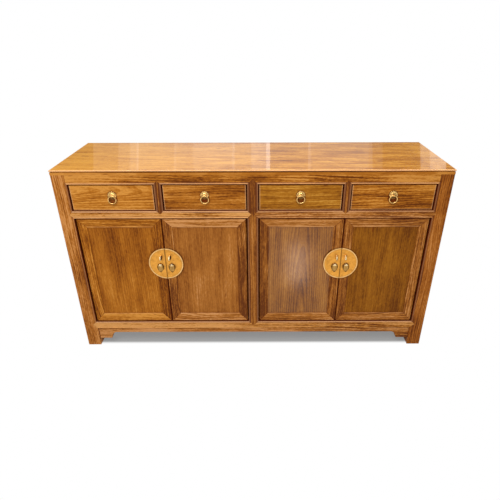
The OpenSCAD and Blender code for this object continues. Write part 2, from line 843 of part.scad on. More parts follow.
// Section of a drawer front: thickness along x, width along y, front corners rounded
module round_front(w) {
  translate([front_round, 0]) square([front_t - front_round, w]);
  translate([0, front_round]) square([front_t, w - 2 * front_round]);
  for (y = [front_round, w - front_round]) translate([front_round, y]) circle(r = front_round);
}

// Drawer box: dovetailed sides, back above the bottom, and the bottom in its grooves
module drawer_box(i) {
  len = drawer_l - front_t;
  color(elm_inner) at_drawer(i) translate([0, front_t, side_z]) {
    difference() {
      for (x = [0, drawer_w - side_t]) translate([x, 0, 0]) {
        cube([side_t, len - side_t, side_h]);
        tail_block(side_h, lap, 0);
        translate([0, len - side_t, back_board_z]) tail_block(side_h - back_board_z, side_t, 1);
        translate([0, len - side_t - 1, 0]) cube([side_t, side_t + 1, back_board_z]);
      }
      drawer_floor(len, glue);
    }
    difference() {
      translate([0, len - side_t + glue, back_board_z + glue])
        cube([drawer_w, side_t - glue, side_h - back_board_z - glue]);
      for (x = [0, drawer_w - side_t]) translate([x, len - side_t, back_board_z])
        tail_block(side_h - back_board_z, side_t, 1, glue);
    }
    drawer_floor(len, 0);
  }
}

// Bottom board of a drawer, or its grooves when it is grown by the glue line
module drawer_floor(len, grow) {
  corner = [side_t - box_groove_d, -box_groove_d, drawer_groove_z];
  size = [drawer_w - 2 * corner[0], len + box_groove_d, drawer_floor_t];
  translate(corner - grow * [1, 1, 1]) cube(size + 2 * grow * [1, 1, 1]);
}

// Places brass on a drawer front: origin at the rosette's centre on the wood, +z outward
module at_rosette(i) {
  translate([drawer_x[i], face_y + drawer_set, drawer_z + rosette_up]) rotate([90, 0, 0]) children();
}

// Rosette with petals and a raised boss, and the post with the eye for the ring
module drawer_rosette(i) {
  color(brass) at_rosette(i) difference() {
    union() {
      linear_extrude(rosette_t) {
        circle(r = rosette_r - petal_r);
        for (k = [0 : petal_n - 1]) rotate(k * 360 / petal_n) translate([rosette_r - petal_r, 0])
          circle(r = petal_r);
      }
      translate([0, 0, rosette_t]) cylinder(r1 = boss_low_r, r2 = boss_high_r, h = boss_t - rosette_t);
      translate([0, -eye_drop, 0]) cylinder(r = eye_r, h = eye_out - eye_r);
      translate([-eye_t / 2, -eye_drop, eye_out]) rotate([0, 90, 0])
        cylinder(r = eye_r + eye_wall, h = eye_t);
    }
    translate([-eye_t, -eye_drop, eye_out]) rotate([0, 90, 0]) cylinder(r = eye_r, h = 2 * eye_t);
  }
}

// Ring pull hanging in its eye
module drawer_ring(i) {
  color(brass) at_rosette(i) translate([0, -eye_drop - ring_r + wire_r, eye_out])
    rotate_extrude() translate([ring_r - wire_r, 0]) circle(r = wire_r);
}

// Places a door: origin at its lower hinge corner on the face, +x to the meeting edge
module at_door(i) {
  translate([door_pin_x[i], door_y, door_z])
    mirror([door_flip[i], 0, 0])
      translate([-pivot_in, 0, 0])
        children();
}

// Section of a door member: thickness along x, width along y from its outer edge
module door_section() {
  difference() {
    union() {
      polygon([
        [0, 0], [door_t, 0], [door_t, door_rail_w], [door_fall, door_rail_w], [0, door_flat_w]
      ]);
      translate([bead_r - bead_h, bead_r]) circle(r = bead_r);
    }
    translate([groove_y, door_rail_w - groove_d]) square([tongue_t, groove_d + 1]);
  }
}

// Outline of a door member between its mitres, outer edge on the x axis
module door_mitre(len) {
  in = door_rail_w + 1;
  polygon([[glue / 2, 0], [len - glue / 2, 0], [len - in - glue / 2, in], [in + glue / 2, in]]);
}

// Member of a door frame along x with both ends mitred
module door_member(len) {
  intersection() {
    rotate([90, 0, 90]) linear_extrude(len) door_section();
    translate([0, door_t + 1, 0]) rotate([90, 0, 0]) linear_extrude(door_t + 3) door_mitre(len);
  }
}

// Tenons of the door rails behind the mitres, at the lower corners
module door_tenons(grow) {
  size = [door_rail_w - door_tenon_x, tongue_t, door_rail_w - 2 * door_tenon_z];
  for (x = [door_tenon_x, door_w - door_rail_w]) translate([x, groove_y, door_tenon_z] - grow * [1, 1, 1])
    cube(size + 2 * grow * [1, 1, 1]);
}

// Turns the lower part of a door to its upper end
module door_ends() {
  for (end = [0, 1]) translate([0, 0, end * door_h]) mirror([0, 0, end]) children();
}

// Door frame: mitred rails and stiles, the hinge stile rounded about its two pivot pins
module door_frame(i) {
  color(elm) at_door(i) {
    difference() {
      intersection() {
        door_ends() {
          door_member(door_w);
          door_tenons(0);
        }
        hinge_round();
      }
      door_pivot(pivot_r + glue);
    }
    difference() {
      union() {
        intersection() {
          door_stile();
          hinge_round();
        }
        door_pivot(pivot_r);
      }
      door_ends() door_tenons(glue);
    }
    difference() {
      translate([door_w, 0, 0]) mirror([1, 0, 0]) door_stile();
      door_ends() door_tenons(glue);
      translate([door_w + door_gap / 2, 0, plate_z - door_z]) rotate([90, 0, 0])
        cylinder(r = plate_dia / 2 + run_gap, h = 2 * bead_h);
    }
  }
}

// Stile of a door on its hinge side
module door_stile() {
  mirror([0, 0, 1]) rotate([0, 90, 0]) door_member(door_h);
}

// Pivot pins of a door with the core between them
module door_pivot(r) {
  reach = door_gap + pivot_l;
  translate([pivot_in, pivot_in, -reach]) cylinder(r = r, h = door_h + 2 * reach);
}

// Everything of a door inside the swing of its hinge edge
module hinge_round() {
  translate([pivot_in, pivot_in, 0]) cylinder(r = pivot_in, h = door_h);
  translate([pivot_in, -bead_h, 0]) cube([door_w, door_t + bead_h, door_h]);
  translate([0, pivot_in, 0]) cube([door_w, door_t - pivot_in, door_h]);
}

module door_panel(i) {
  color(elm) at_door(i) translate([door_w / 2, 0, door_rail_w])
    floating_panel(door_w - 2 * door_rail_w, door_h - 2 * door_rail_w);
}

// Places brass on a door: origin at the plate's centre on the meeting line, +z outward
module at_plate(i) {
  at_door(i) translate([door_w + door_gap / 2, 0, plate_z - door_z]) rotate([90, 0, 0]) children();
}

// Half plate with its lock ear and the two lugs and pin of the leaf pull
module door_plate(i) {
  color(brass) at_plate(i) {
    intersection() {
      cylinder(r = plate_dia / 2, h = plate_t, $fn = 96);
      translate([-plate_dia, -plate_dia, -1])
        cube([plate_dia - door_gap / 2 + plate_past, 2 * plate_dia, plate_t + 2]);
    }
    translate([-ear_x - ear_t / 2, ear_up, 0]) difference() {
      union() {
        translate([0, -ear_h / 2, 0]) cube([ear_t, ear_h, plate_t + ear_out - ear_h / 2]);
        translate([0, 0, plate_t + ear_out - ear_h / 2]) rotate([0, 90, 0])
          cylinder(r = ear_h / 2, h = ear_t);
      }
      translate([-1, 0, plate_t + ear_out - ear_h / 2]) rotate([0, 90, 0])
        cylinder(r = ear_hole_r, h = ear_t + 2);
    }
    translate([-pull_x, pull_up, 0]) {
      for (side = [0, 1]) mirror([side, 0, 0]) translate([knuckle_l / 2 + lug_gap, 0, 0]) {
        translate([0, -lug_r, 0]) cube([lug_t, 2 * lug_r, plate_t + pull_pin_out]);
        translate([0, 0, plate_t + pull_pin_out]) rotate([0, 90, 0]) cylinder(r = lug_r, h = lug_t);
      }
      translate([-knuckle_l / 2 - lug_gap, 0, plate_t + pull_pin_out]) rotate([0, 90, 0])
        cylinder(r = pull_pin_r, h = knuckle_l + 2 * lug_gap);
    }
  }
}

// Outline of a leaf pull below its pin: a neck, and two round lobes that run in arcs to a point
module leaf_shape() {
  neck_l = lobe_top + lobe_r;
  drop = pull_l - neck_l;
  side_r = (drop * drop + pull_w * pull_w / 4) / pull_w;
  translate([-knuckle_l / 2, -neck_l]) square([knuckle_l, neck_l]);
  translate([0, -neck_l]) {
    for (side = [-1, 1]) translate([side * lobe_x, 0]) circle(r = lobe_r);
    intersection() {
      translate([side_r - pull_w / 2, 0]) circle(r = side_r, $fn = 96);
      translate([pull_w / 2 - side_r, 0]) circle(r = side_r, $fn = 96);
      translate([-pull_w, -pull_l]) square([2 * pull_w, pull_l]);
    }
  }
}

// Leaf pull hanging from its knuckle
module door_pull(i) {
  color(bronze) at_plate(i) translate([-pull_x, pull_up, plate_t + pull_pin_out]) difference() {
    union() {
      translate([0, 0, -pull_t / 2]) linear_extrude(pull_t) leaf_shape();
      translate([-knuckle_l / 2, 0, 0]) rotate([0, 90, 0]) cylinder(r = knuckle_r, h = knuckle_l);
    }
    translate([-knuckle_l, 0, 0]) rotate([0, 90, 0])
      cylinder(r = pull_pin_r + pin_clear, h = 2 * knuckle_l);
  }
}

leg(-1, false);  // leg_front_left
leg(1, false);  // leg_front_right
leg(-1, true);  // leg_back_left
leg(1, true);  // leg_back_right
top_boards();
top_battens();
rail_front_top();
rail_front_mid(-1);  // rail_front_mid_left
rail_front_mid(1);  // rail_front_mid_right
stile_front_centre();
drawer_dividers();
rail_front_bottom();
apron_front();
aprons_side();
rails_side(-1);  // rails_side_left
rails_side(1);  // rails_side_right
panel_side(-1);  // panel_side_left
panel_side(1);  // panel_side_right
rails_back();
stile_back();
panels_back();
floor_boards();
partition_centre();
drawer_runners();
shelves();
shelf_cleats();
stop_blocks();
drawer_front(0);  // drawer_1_front
drawer_box(0);  // drawer_1_box
drawer_rosette(0);  // drawer_1_rosette
drawer_ring(0);  // drawer_1_ring
drawer_front(1);  // drawer_2_front
drawer_box(1);  // drawer_2_box
drawer_rosette(1);  // drawer_2_rosette
drawer_ring(1);  // drawer_2_ring
drawer_front(2);  // drawer_3_front
drawer_box(2);  // drawer_3_box
drawer_rosette(2);  // drawer_3_rosette
drawer_ring(2);  // drawer_3_ring
drawer_front(3);  // drawer_4_front
drawer_box(3);  // drawer_4_box
drawer_rosette(3);  // drawer_4_rosette
drawer_ring(3);  // drawer_4_ring
door_frame(0);  // door_1_frame
door_panel(0);  // door_1_panel
door_plate(0);  // door_1_plate
door_pull(0);  // door_1_pull
door_frame(1);  // door_2_frame
door_panel(1);  // door_2_panel
door_plate(1);  // door_2_plate
door_pull(1);  // door_2_pull
door_frame(2);  // door_3_frame
door_panel(2);  // door_3_panel
door_plate(2);  // door_3_plate
door_pull(2);  // door_3_pull
door_frame(3);  // door_4_frame
door_panel(3);  // door_4_panel
door_plate(3);  // door_4_plate
door_pull(3);  // door_4_pull
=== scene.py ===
"""Looks of a long elm sideboard: wood, brass, petals of the rosettes, stage, light and camera."""

import math
from functools import reduce
from typing import NamedTuple

import bmesh
import bpy
from bpy.props import FloatProperty, FloatVectorProperty, PointerProperty
from mathutils import Matrix, Vector


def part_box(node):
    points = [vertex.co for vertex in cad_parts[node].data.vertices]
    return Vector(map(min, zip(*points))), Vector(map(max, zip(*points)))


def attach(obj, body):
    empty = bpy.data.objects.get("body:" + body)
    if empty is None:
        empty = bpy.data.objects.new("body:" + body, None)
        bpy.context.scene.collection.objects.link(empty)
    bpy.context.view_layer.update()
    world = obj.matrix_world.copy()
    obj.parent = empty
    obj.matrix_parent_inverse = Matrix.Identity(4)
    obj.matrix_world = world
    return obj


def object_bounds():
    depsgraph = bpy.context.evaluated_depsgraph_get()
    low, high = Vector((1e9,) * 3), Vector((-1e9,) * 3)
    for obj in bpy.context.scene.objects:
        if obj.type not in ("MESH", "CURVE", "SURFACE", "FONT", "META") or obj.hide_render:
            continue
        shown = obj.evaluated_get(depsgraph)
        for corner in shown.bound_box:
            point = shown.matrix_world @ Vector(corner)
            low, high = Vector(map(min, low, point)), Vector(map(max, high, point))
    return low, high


bl_info = {
    "name": "Elm sideboard",
    "version": (1, 0, 0),
    "blender": (4, 5, 0),
    "location": "View3D > Sidebar > Sideboard",
    "description": "Finishes, fittings, stage and light for a packed elm sideboard",
    "category": "Object",
}

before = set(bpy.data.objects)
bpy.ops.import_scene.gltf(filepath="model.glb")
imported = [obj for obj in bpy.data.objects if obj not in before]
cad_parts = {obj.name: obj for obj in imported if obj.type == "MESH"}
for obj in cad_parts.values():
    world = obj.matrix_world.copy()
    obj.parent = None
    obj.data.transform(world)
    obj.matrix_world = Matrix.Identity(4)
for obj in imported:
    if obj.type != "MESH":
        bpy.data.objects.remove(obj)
CAD_BOX = [list(corner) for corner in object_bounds()]

X, Y, Z = 0, 1, 2
MM = 0.001
FLOOR_Z = 0.0

# Drawers and doors are numbered from the left; these doors have their meeting line on their right.
NUMBERS = (1, 2, 3, 4)
LEFT_DOORS = (1, 3)


class Box:
    """Lowest corner, highest corner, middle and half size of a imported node."""

    def __init__(self, name):
        self.low, self.high = [list(corner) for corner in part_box(name)]
        self.mid = [(a + b) / 2 for a, b in zip(self.low, self.high)]
        self.half = [(b - a) / 2 for a, b in zip(self.low, self.high)]


class Term:
    """A shader socket in an expression: each operator adds a Math or Vector Math node."""

    def __init__(self, shader, socket):
        self.shader = shader
        self.socket = socket

    def _math(self, operation, *values, clamp=False):
        terms = dict(enumerate((self,) + values))
        settings = {"operation": operation, "use_clamp": clamp}
        return self.shader.node("ShaderNodeMath", settings, terms)

    def _either(self, operation, other):
        """Vector Math where this term is a vector, and Math where it is a number."""
        if self.socket.type == "VECTOR":
            return self.shader.node("ShaderNodeVectorMath", {"operation": operation}, {0: self, 1: other})
        return self._math(operation, other)

    def __add__(self, other):
        return self._either("ADD", other)

    def __sub__(self, other):
        return self._either("SUBTRACT", other)

    def __rsub__(self, other):
        return (self * -1) + other

    def __mul__(self, other):
        return self._math("MULTIPLY", other)

    def __truediv__(self, other):
        return self._math("DIVIDE", other)

    def __lt__(self, other):
        return self._math("LESS_THAN", other)

    def __gt__(self, other):
        return self._math("GREATER_THAN", other)

    def __abs__(self):
        return self._math("ABSOLUTE")

    def least(self, other):
        return self._math("MINIMUM", other)

    def most(self, other):
        return self._math("MAXIMUM", other)

    def floor(self):
        return self._math("FLOOR")

    def sine(self):
        return self._math("SINE")

    def root(self):
        return self._math("SQRT")

    def clamped(self):
        return self._math("ADD", 0.0, clamp=True)

    def smooth(self, low, high):
        """0 below low, 1 above high, with a soft step between them."""
        settings = {"interpolation_type": "SMOOTHSTEP"}
        return self.shader.node("ShaderNodeMapRange", settings, {0: self, 1: low, 2: high})

    def part(self, axis):
        """One coordinate of a vector."""
        return self.shader.node("ShaderNodeSeparateXYZ", None, {0: self}, out=axis)

    x = property(lambda self: self.part(X))
    y = property(lambda self: self.part(Y))
    z = property(lambda self: self.part(Z))


class Shader:
    """The node tree of a material or a world, written as expressions."""

    def __init__(self, owner):
        self.owner = owner
        owner.use_nodes = True
        self.tree = owner.node_tree
        self.tree.nodes.clear()

    @classmethod
    def material(cls, name):
        return cls(bpy.data.materials.new(name))

    def node(self, kind, settings=None, values=None, out=0):
        """Adds a node: its settings are set first, then the values or links of its sockets."""
        made = self.tree.nodes.new(kind)
        for name, value in (settings or {}).items():
            setattr(made, name, value)
        for key, value in (values or {}).items():
            if isinstance(value, Term):
                self.tree.links.new(value.socket, made.inputs[key])
            else:
                made.inputs[key].default_value = value
        return Term(self, made.outputs[out]) if len(made.outputs) else None

    def place(self):
        """Place on the object, in metres."""
        return self.node("ShaderNodeTexCoord", out="Object")

    def facing(self):
        """Direction of the surface on the object."""
        return self.node("ShaderNodeTexCoord", out="Normal")

    def ray(self, kind):
        """1 where a ray of some kind, such as Camera, meets the surface."""
        return self.node("ShaderNodeLightPath", out=f"Is {kind} Ray")

    def vector(self, x, y, z):
        return self.node("ShaderNodeCombineXYZ", None, {0: x, 1: y, 2: z})

    def noise(self, place, scale, detail, roughness=0.5):
        values = {"Vector": place, "Scale": scale, "Detail": detail, "Roughness": roughness}
        return self.node("ShaderNodeTexNoise", None, values, out="Fac")

    def chance(self, value):
        """An even random number that belongs to a whole number."""
        return self.node("ShaderNodeTexWhiteNoise", {"noise_dimensions": "1D"}, {"W": value}, out="Value")

    def mix(self, share, first, second):
        """Two colours mixed by a share, either of them a plain colour or a term."""
        full = [c if isinstance(c, Term) else (*c[:3], 1.0) for c in (first, second)]
        return self.node("ShaderNodeMix", {"data_type": "RGBA"}, {0: share, 6: full[0], 7: full[1]}, out=2)

    def ramp(self, share, stops):
        """A colour picked by a share along stops, which are pairs of a place and a colour."""
        picked = self.node("ShaderNodeValToRGB", None, {0: share}, out="Color")
        elements = picked.socket.node.color_ramp.elements
        while len(elements) < len(stops):
            elements.new(0.5)
        for element, (place, colour) in zip(elements, stops):
            element.position = place
            element.color = (*colour, 1.0)
        return picked

    def bump(self, height, distance, strength):
        values = {"Height": height, "Distance": distance, "Strength": strength}
        return self.node("ShaderNodeBump", None, values)

    def surface(self, **sockets):
        """Ends the tree in a Principled surface whose sockets are given by name."""
        values = {name.replace("_", " "): value for name, value in sockets.items()}
        self.end(self.node("ShaderNodeBsdfPrincipled", None, values))
        return self.owner

    def end(self, shaded, kind="ShaderNodeOutputMaterial"):
        self.node(kind, None, {"Surface": shaded})


def length(aside, up):
    """Length of a step aside and up."""
    return (aside * aside + up * up).root()


def line(distance, width):
    """1 on a line of some width where a distance is 0, soft at its edges."""
    return 1 - abs(distance).smooth(width * 0.35, width)


def colour_setting(name, description, default):
    return FloatVectorProperty(
        name=name, description=description, subtype="COLOR", size=3, min=0.0, max=1.0, default=default)


def share_setting(name, description, default):
    return FloatProperty(
        name=name, description=description, subtype="FACTOR", min=0.0, max=1.0, default=default)


def length_setting(name, description, low, high, default):
    return FloatProperty(
        name=name, description=description, subtype="DISTANCE", unit="LENGTH",
        min=low, max=high, default=default)


def amount_setting(name, description, high, default, unit="NONE"):
    return FloatProperty(name=name, description=description, unit=unit, min=0.0, max=high, default=default)


class SIDEBOARD_PG_wood(bpy.types.PropertyGroup):
    """Colours and finish of the elm"""

    gold: colour_setting("Gold", "Lightest early wood of the show faces", (0.60, 0.255, 0.048))
    honey: colour_setting("Honey", "Usual colour of the show faces", (0.41, 0.140, 0.013))
    chestnut: colour_setting("Chestnut", "Late wood of the show faces", (0.265, 0.078, 0.006))
    dark: colour_setting("Dark", "Darkest streaks of the show faces", (0.125, 0.030, 0.003))
    # This dark colour also serves as painted shade in gaps, beside the beads, under the nosing and round the
    # fittings.
    crevice_and_shade: colour_setting("Crevice", "Old polish in pores, joints and gaps", (0.105, 0.010, 0.0))
    # This light colour also serves as painted highlight on beads, edges and the nosing.
    worn: colour_setting("Worn", "Beads and edges that hands and cloths have rubbed", (0.80, 0.43, 0.20))
    pale: colour_setting("Pale", "Light wood of the pieces inside", (0.60, 0.38, 0.18))
    pale_streak: colour_setting("Pale streak", "Dark wood of the pieces inside", (0.36, 0.195, 0.075))
    satin: share_setting("Roughness", "Roughness of the satin finish", 0.38)
    ring_pitch: length_setting("Ring pitch", "Distance between two growth rings", 0.002, 0.05, 0.0085)
    seam: length_setting("Seam", "Width of the dark line of a tight joint", 0.0002, 0.003, 0.0011)


class SIDEBOARD_PG_brass(bpy.types.PropertyGroup):
    """Colours and finish of the fittings"""

    gold: colour_setting("Gold", "Colour of the round plates", (0.93, 0.425, 0.070))
    bright: colour_setting("Bright", "Colour of the rosettes and rings, rubbed by hands", (0.96, 0.60, 0.20))
    # This light colour also serves as painted highlight on the ears, the eyelets and the plates' rims.
    worn: colour_setting("Worn", "Colour of the lock ears and the eyelets of the pulls", (0.97, 0.74, 0.38))
    # This dark colour also serves as painted shade on the plates, pulls and rosettes.
    tarnish_and_shade: colour_setting("Tarnish", "Colour in the hollows of the brass", (0.16, 0.065, 0.012))
    bronze: colour_setting("Bronze", "Colour of the leaf pulls", (0.88, 0.50, 0.14))
    satin: share_setting("Roughness", "Roughness of the brass", 0.42)
    petal_rise: length_setting(
        "Petal rise", "Height of a rosette's petals above its disc", 0.0002, 0.002, 0.0010)


class SIDEBOARD_PG_stage(bpy.types.PropertyGroup):
    """Floor, lamps and camera"""

    floor_size: length_setting("Floor", "Side of the square floor", 4.0, 80.0, 40.0)
    floor_grey: share_setting("Floor tone", "Brightness of the floor as the object sees it", 0.72)
    shadow_edge: FloatVectorProperty(
        name="Shadow edge",
        description="Where the shadow starts and ends to fade inside the outline",
        subtype="XYZ", unit="LENGTH", size=2, min=-1.0, max=1.0, default=(0.042, 0.010))
    # Shadow tone is the grey of the painted shadow; shadow depth is the share of real shading added to it.
    shadow_tone: share_setting("Shadow tone", "Brightness of the shadow where no light reaches it", 0.25)
    shadow_depth: share_setting("Shadow depth", "Share of the real shading that the shadow shows", 0.14)
    sky: amount_setting("Room light", "Strength of the even light from all sides", 2.0, 0.36)
    gloss_sky: amount_setting("Room in gloss", "Strength of the room as polished faces show it", 2.0, 0.10)
    key_power: amount_setting("Front lamp", "Power of the soft lamp in front", 500.0, 96.0, "POWER")
    top_power: amount_setting("Overhead lamp", "Power of the soft lamp above", 500.0, 48.0, "POWER")
    lens: FloatProperty(
        name="Lens", description="Focal length of the camera on a 36 mm frame", min=10.0, max=200.0,
        default=31.3)
    camera_place: FloatVectorProperty(
        name="Camera", description="Place of the camera", subtype="TRANSLATION", unit="LENGTH",
        size=3, default=(0.0219, -1.87425, 1.3666))
    camera_pitch: FloatProperty(
        name="Pitch", description="Angle that the camera looks down", subtype="ANGLE",
        unit="ROTATION", default=math.radians(27.87))
    camera_roll: FloatProperty(
        name="Roll", description="Turn of the camera about its line of sight", subtype="ANGLE",
        unit="ROTATION", default=math.radians(-0.14))
    shift: FloatVectorProperty(
        name="Shift", description="Shift of the camera's frame", size=2, default=(-0.0165, 0.009))


NO_TINT = (1.0, 1.0, 1.0)


class Cut(NamedTuple):
    """How a piece was sawn from its log, and how its finish came out."""

    tone: float = 0.0  # lighter above 0, darker below
    figure: float = 1.0  # contrast of the whole figure
    rings: float = 0.5  # contrast of the growth rings
    streak: float = 1.2  # contrast of the streaks that follow the rings
    heart: float = 0.05  # how far the heart of the log lies aside, in metres
    depth: float = 0.040  # how far it lies behind the middle of the piece, in metres
    slope: float = 0.03  # how much it leans along the piece
    wave: float = 0.7  # how much the rings wander
    coarse: float = 1.0  # distance between the rings against the usual one
    fan: float = 0.0  # how much the grain of the top spreads towards its left end
    tint: tuple = NO_TINT
    coat: float = 0.0
    coat_rough: float = 0.25
    level_coat: bool = False  # coated on level faces only
    dull: float = 0.0  # added to the roughness
    pale: bool = False  # light wood of the inside


GRAIN_ORDER = {X: (X, Z, Y), Y: (Y, Z, X), Z: (Z, X, Y)}
# Places of the four shades of the wood between light and dark, and the usual place.
SHADE_STOPS = (0.0, 0.38, 0.72, 1.0)
USUAL_SHADE = 0.42
# Shift of the figure per seed and per board, and how much boards differ in place and tone.
SEED_SHIFT, BOARD_SHIFT = 7.31, 23.0
BOARD_PLACE, BOARD_TONE = 0.08, 0.20
# How far the growth rings wander, slowly and quickly, in metres.
SLOW_WAVE, QUICK_WAVE = 0.075, 0.0065
# Where the spread grain of the top is widest and where it ends, in metres from its middle.
FAN_START, FAN_END = -0.80, -0.22
# Old polish in the pores of the show faces and of the inside, in knots and on end grain.
PORE_MARK, PALE_PORE_MARK, KNOT_MARK, END_MARK = 0.42, 0.30, 0.6, 0.45
SHOW_SHINE, PALE_SHINE = 0.06, 0.5
PALE_ROUGHNESS = 0.62
# Share of the figure that fades where the wood is plain.
CALM = 0.7


def shades(wood, tint):
    """The four shades of the show faces, each with its place, multiplied by a tint."""
    colours = (wood.gold, wood.honey, wood.chestnut, wood.dark)
    return [(stop, [a * b for a, b in zip(colour, tint)]) for stop, colour in zip(SHADE_STOPS, colours)]


def elm(node, axis, seed, cut=Cut(), member=None, swap=None, lift=None, plain=None, shade_and_dirt=None, rubbed=None):
    """Dresses a node in elm with the grain along an axis.

    member numbers the boards in the node, swap is 1 where the grain turns across, lift adds to the
    tone, plain is 1 where the tint is left off and the figure fades, shade_and_dirt is 1 where shade
    is painted and along dark joints, and rubbed is 1 where a highlight is painted with some wear.
    """
    wood = bpy.context.scene.sideboard_wood
    shader = Shader.material(f"elm_{node}")
    place = shader.place()
    local = place - tuple(Box(node).mid)
    along, across, deep = [local.part(k) for k in GRAIN_ORDER[axis]]
    if swap:
        turned = swap(place)
        along, across = along + (across - along) * turned, across + (along - across) * turned
    run = along + seed * SEED_SHIFT
    if member:
        board = member(place)
        own = shader.chance(board + seed * 1.37)
        run = run + own * BOARD_SHIFT
        across = across + (shader.chance(board + seed * 2.11 + 0.5) - 0.5) * BOARD_PLACE

    def grain(lengthwise, crosswise, detail, roughness=0.5):
        """Noise drawn out along the grain; its rates are in waves per metre."""
        spot = shader.vector(run * lengthwise, across * crosswise, deep * crosswise)
        return shader.noise(spot, 1.0, detail, roughness)

    slow = grain(1.6, 7.0, 2.0) - 0.5
    quick = grain(8.0, 34.0, 2.0) - 0.5
    side = across + cut.heart + slow * (SLOW_WAVE * cut.wave)
    if cut.fan:
        side = side * (1 - (1 - along.smooth(FAN_START, FAN_END)) * cut.fan)
    rise = deep + along * cut.slope + cut.depth
    radius = length(side, rise) + quick * (QUICK_WAVE * cut.wave)
    turn = radius / (wood.ring_pitch * cut.coarse)
    ring = turn - turn.floor()
    late = ring.smooth(0.15, 0.92) * (1 - ring.smooth(0.93, 1.0))

    def ringed(lengthwise, inward, crosswise, detail):
        """Noise that follows the growth rings."""
        spot = shader.vector(run * lengthwise, radius * (inward / cut.coarse), across * crosswise)
        return shader.noise(spot, 1.0, detail, 0.6)

    bands = ringed(2.0, 42.0, 8.0, 2.0)
    streaks = ringed(4.5, 170.0, 20.0, 3.0)
    fibre = grain(9.0, 320.0, 3.0, 0.6)
    clouds = grain(4.5, 12.0, 3.0, 0.6)
    grit = grain(60.0, 180.0, 3.0, 0.7)
    pores = grain(38.0, 950.0, 1.0).smooth(0.58, 0.72) * (1 - late * 0.7)
    knots = grain(14.0, 45.0, 1.0).smooth(0.745, 0.80)
    shade = (late - 0.4) * (0.5 * cut.rings) + (bands - 0.5) * 0.90 + (streaks - 0.5) * cut.streak
    shade = shade + (clouds - 0.5) * 1.2 + (fibre - 0.5) * 0.8 + (grit - 0.5)
    figure = (1 - plain(place) * CALM) * cut.figure if plain else cut.figure
    dark = shade * figure + (USUAL_SHADE - cut.tone)
    if member:
        dark = dark + (own - 0.5) * BOARD_TONE
    if lift:
        dark = dark - lift(place)
    dark = dark.clamped()
    if cut.pale:
        colour = shader.mix(dark, wood.pale, wood.pale_streak)
    else:
        colour = shader.ramp(dark, shades(wood, cut.tint))
        if plain:
            colour = shader.mix(plain(place), colour, shader.ramp(dark, shades(wood, NO_TINT)))
    marks = (pores * (PALE_PORE_MARK if cut.pale else PORE_MARK)).most(knots * KNOT_MARK)
    colour = shader.mix(marks, colour, wood.crevice_and_shade)
    height = (1 - pores) * 0.6 + late * 0.25 + fibre * 0.3
    rough = (fibre - 0.5) * 0.16 + ((PALE_ROUGHNESS if cut.pale else wood.satin) + cut.dull)
    if not swap:
        ends = abs(shader.facing().part(axis)) > 0.8
        colour = shader.mix(ends * END_MARK, colour, wood.crevice_and_shade)
    # Painted highlight with some wear, in the light colour.
    if rubbed:
        colour = shader.mix(rubbed(place), colour, wood.worn)
    # Painted shade and dark joints, in the dark colour.
    if shade_and_dirt:
        shade_and_soil = shade_and_dirt(place)
        colour = shader.mix(shade_and_soil, colour, wood.crevice_and_shade)
        rough = rough + shade_and_soil * 0.3
        height = height - shade_and_soil * 1.5
    coat = shader.facing().z.smooth(0.4, 0.9) * cut.coat if cut.level_coat else cut.coat
    dress(node, shader.surface(
        Base_Color=colour, Roughness=rough, Normal=shader.bump(height, 0.25 * MM, 0.5),
        Specular_IOR_Level=PALE_SHINE if cut.pale else SHOW_SHINE,
        Coat_Weight=coat, Coat_Roughness=cut.coat_rough))


def add_object(name, data):
    """Adds an object with this data to the scene."""
    obj = bpy.data.objects.new(name, data)
    bpy.context.collection.objects.link(obj)
    return obj


def dress(name, material):
    """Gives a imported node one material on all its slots."""
    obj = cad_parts[name]
    if not obj.material_slots:
        obj.data.materials.append(material)
    for slot in obj.material_slots:
        slot.material = material


# Clearances and sizes of the front and the top, as their source has them.
DOOR_GAP = 3 * MM
DRAWER_SIDE_GAP = 4 * MM
DRAWER_LOW_GAP = 1.5 * MM
DRAWER_TOP_GAP = 2 * MM
PIN_REACH = 13 * MM
BEAD_W = 5.5 * MM
BEAD_RISE = 1.2 * MM
FRONT_BOARD_W = 130 * MM
NOSE_H = 6 * MM
QUIRK_H = 3 * MM

# Reach of the painted shadow round a fitting.
FITTING_SHADOW_W = 4.5 * MM

TOP = Box("top_boards")
FACE_Y = Box("rail_front_top").low[Y] + BEAD_RISE


def front_openings():
    """Openings of the right half of the front, which mirror the left, as ranges along x and z."""
    low, high = Box("door_3_frame").low, Box("door_4_frame").high
    found = [((low[X] - DOOR_GAP, high[X] + DOOR_GAP),
              (low[Z] + PIN_REACH - DOOR_GAP, high[Z] - PIN_REACH + DOOR_GAP))]
    for number in (3, 4):
        drawer = Box(f"drawer_{number}_front")
        found.append(((drawer.low[X] - DRAWER_SIDE_GAP, drawer.high[X] + DRAWER_SIDE_GAP),
                      (drawer.low[Z] - DRAWER_LOW_GAP, drawer.high[Z] + DRAWER_TOP_GAP)))
    return found


OPENINGS = front_openings()
STILE_X, OPEN_X = OPENINGS[0][0]
DOOR_LOW_Z, DOOR_HIGH_Z = OPENINGS[0][1]
DRAWER_LOW_Z, DRAWER_HIGH_Z = OPENINGS[1][1]
DIVIDER_X = (OPENINGS[1][0][1] + OPENINGS[2][0][0]) / 2
DIVIDER_W = OPENINGS[2][0][0] - OPENINGS[1][0][1]
RAIL_MIDDLE_Z = (DOOR_HIGH_Z + DRAWER_LOW_Z) / 2
RAIL_REACH = (DRAWER_LOW_Z - DOOR_HIGH_Z) / 2
LOW_RAIL_Z = Box("rail_front_bottom").low[Z]
LOW_RAIL_REACH = (DOOR_LOW_Z - LOW_RAIL_Z) / 2

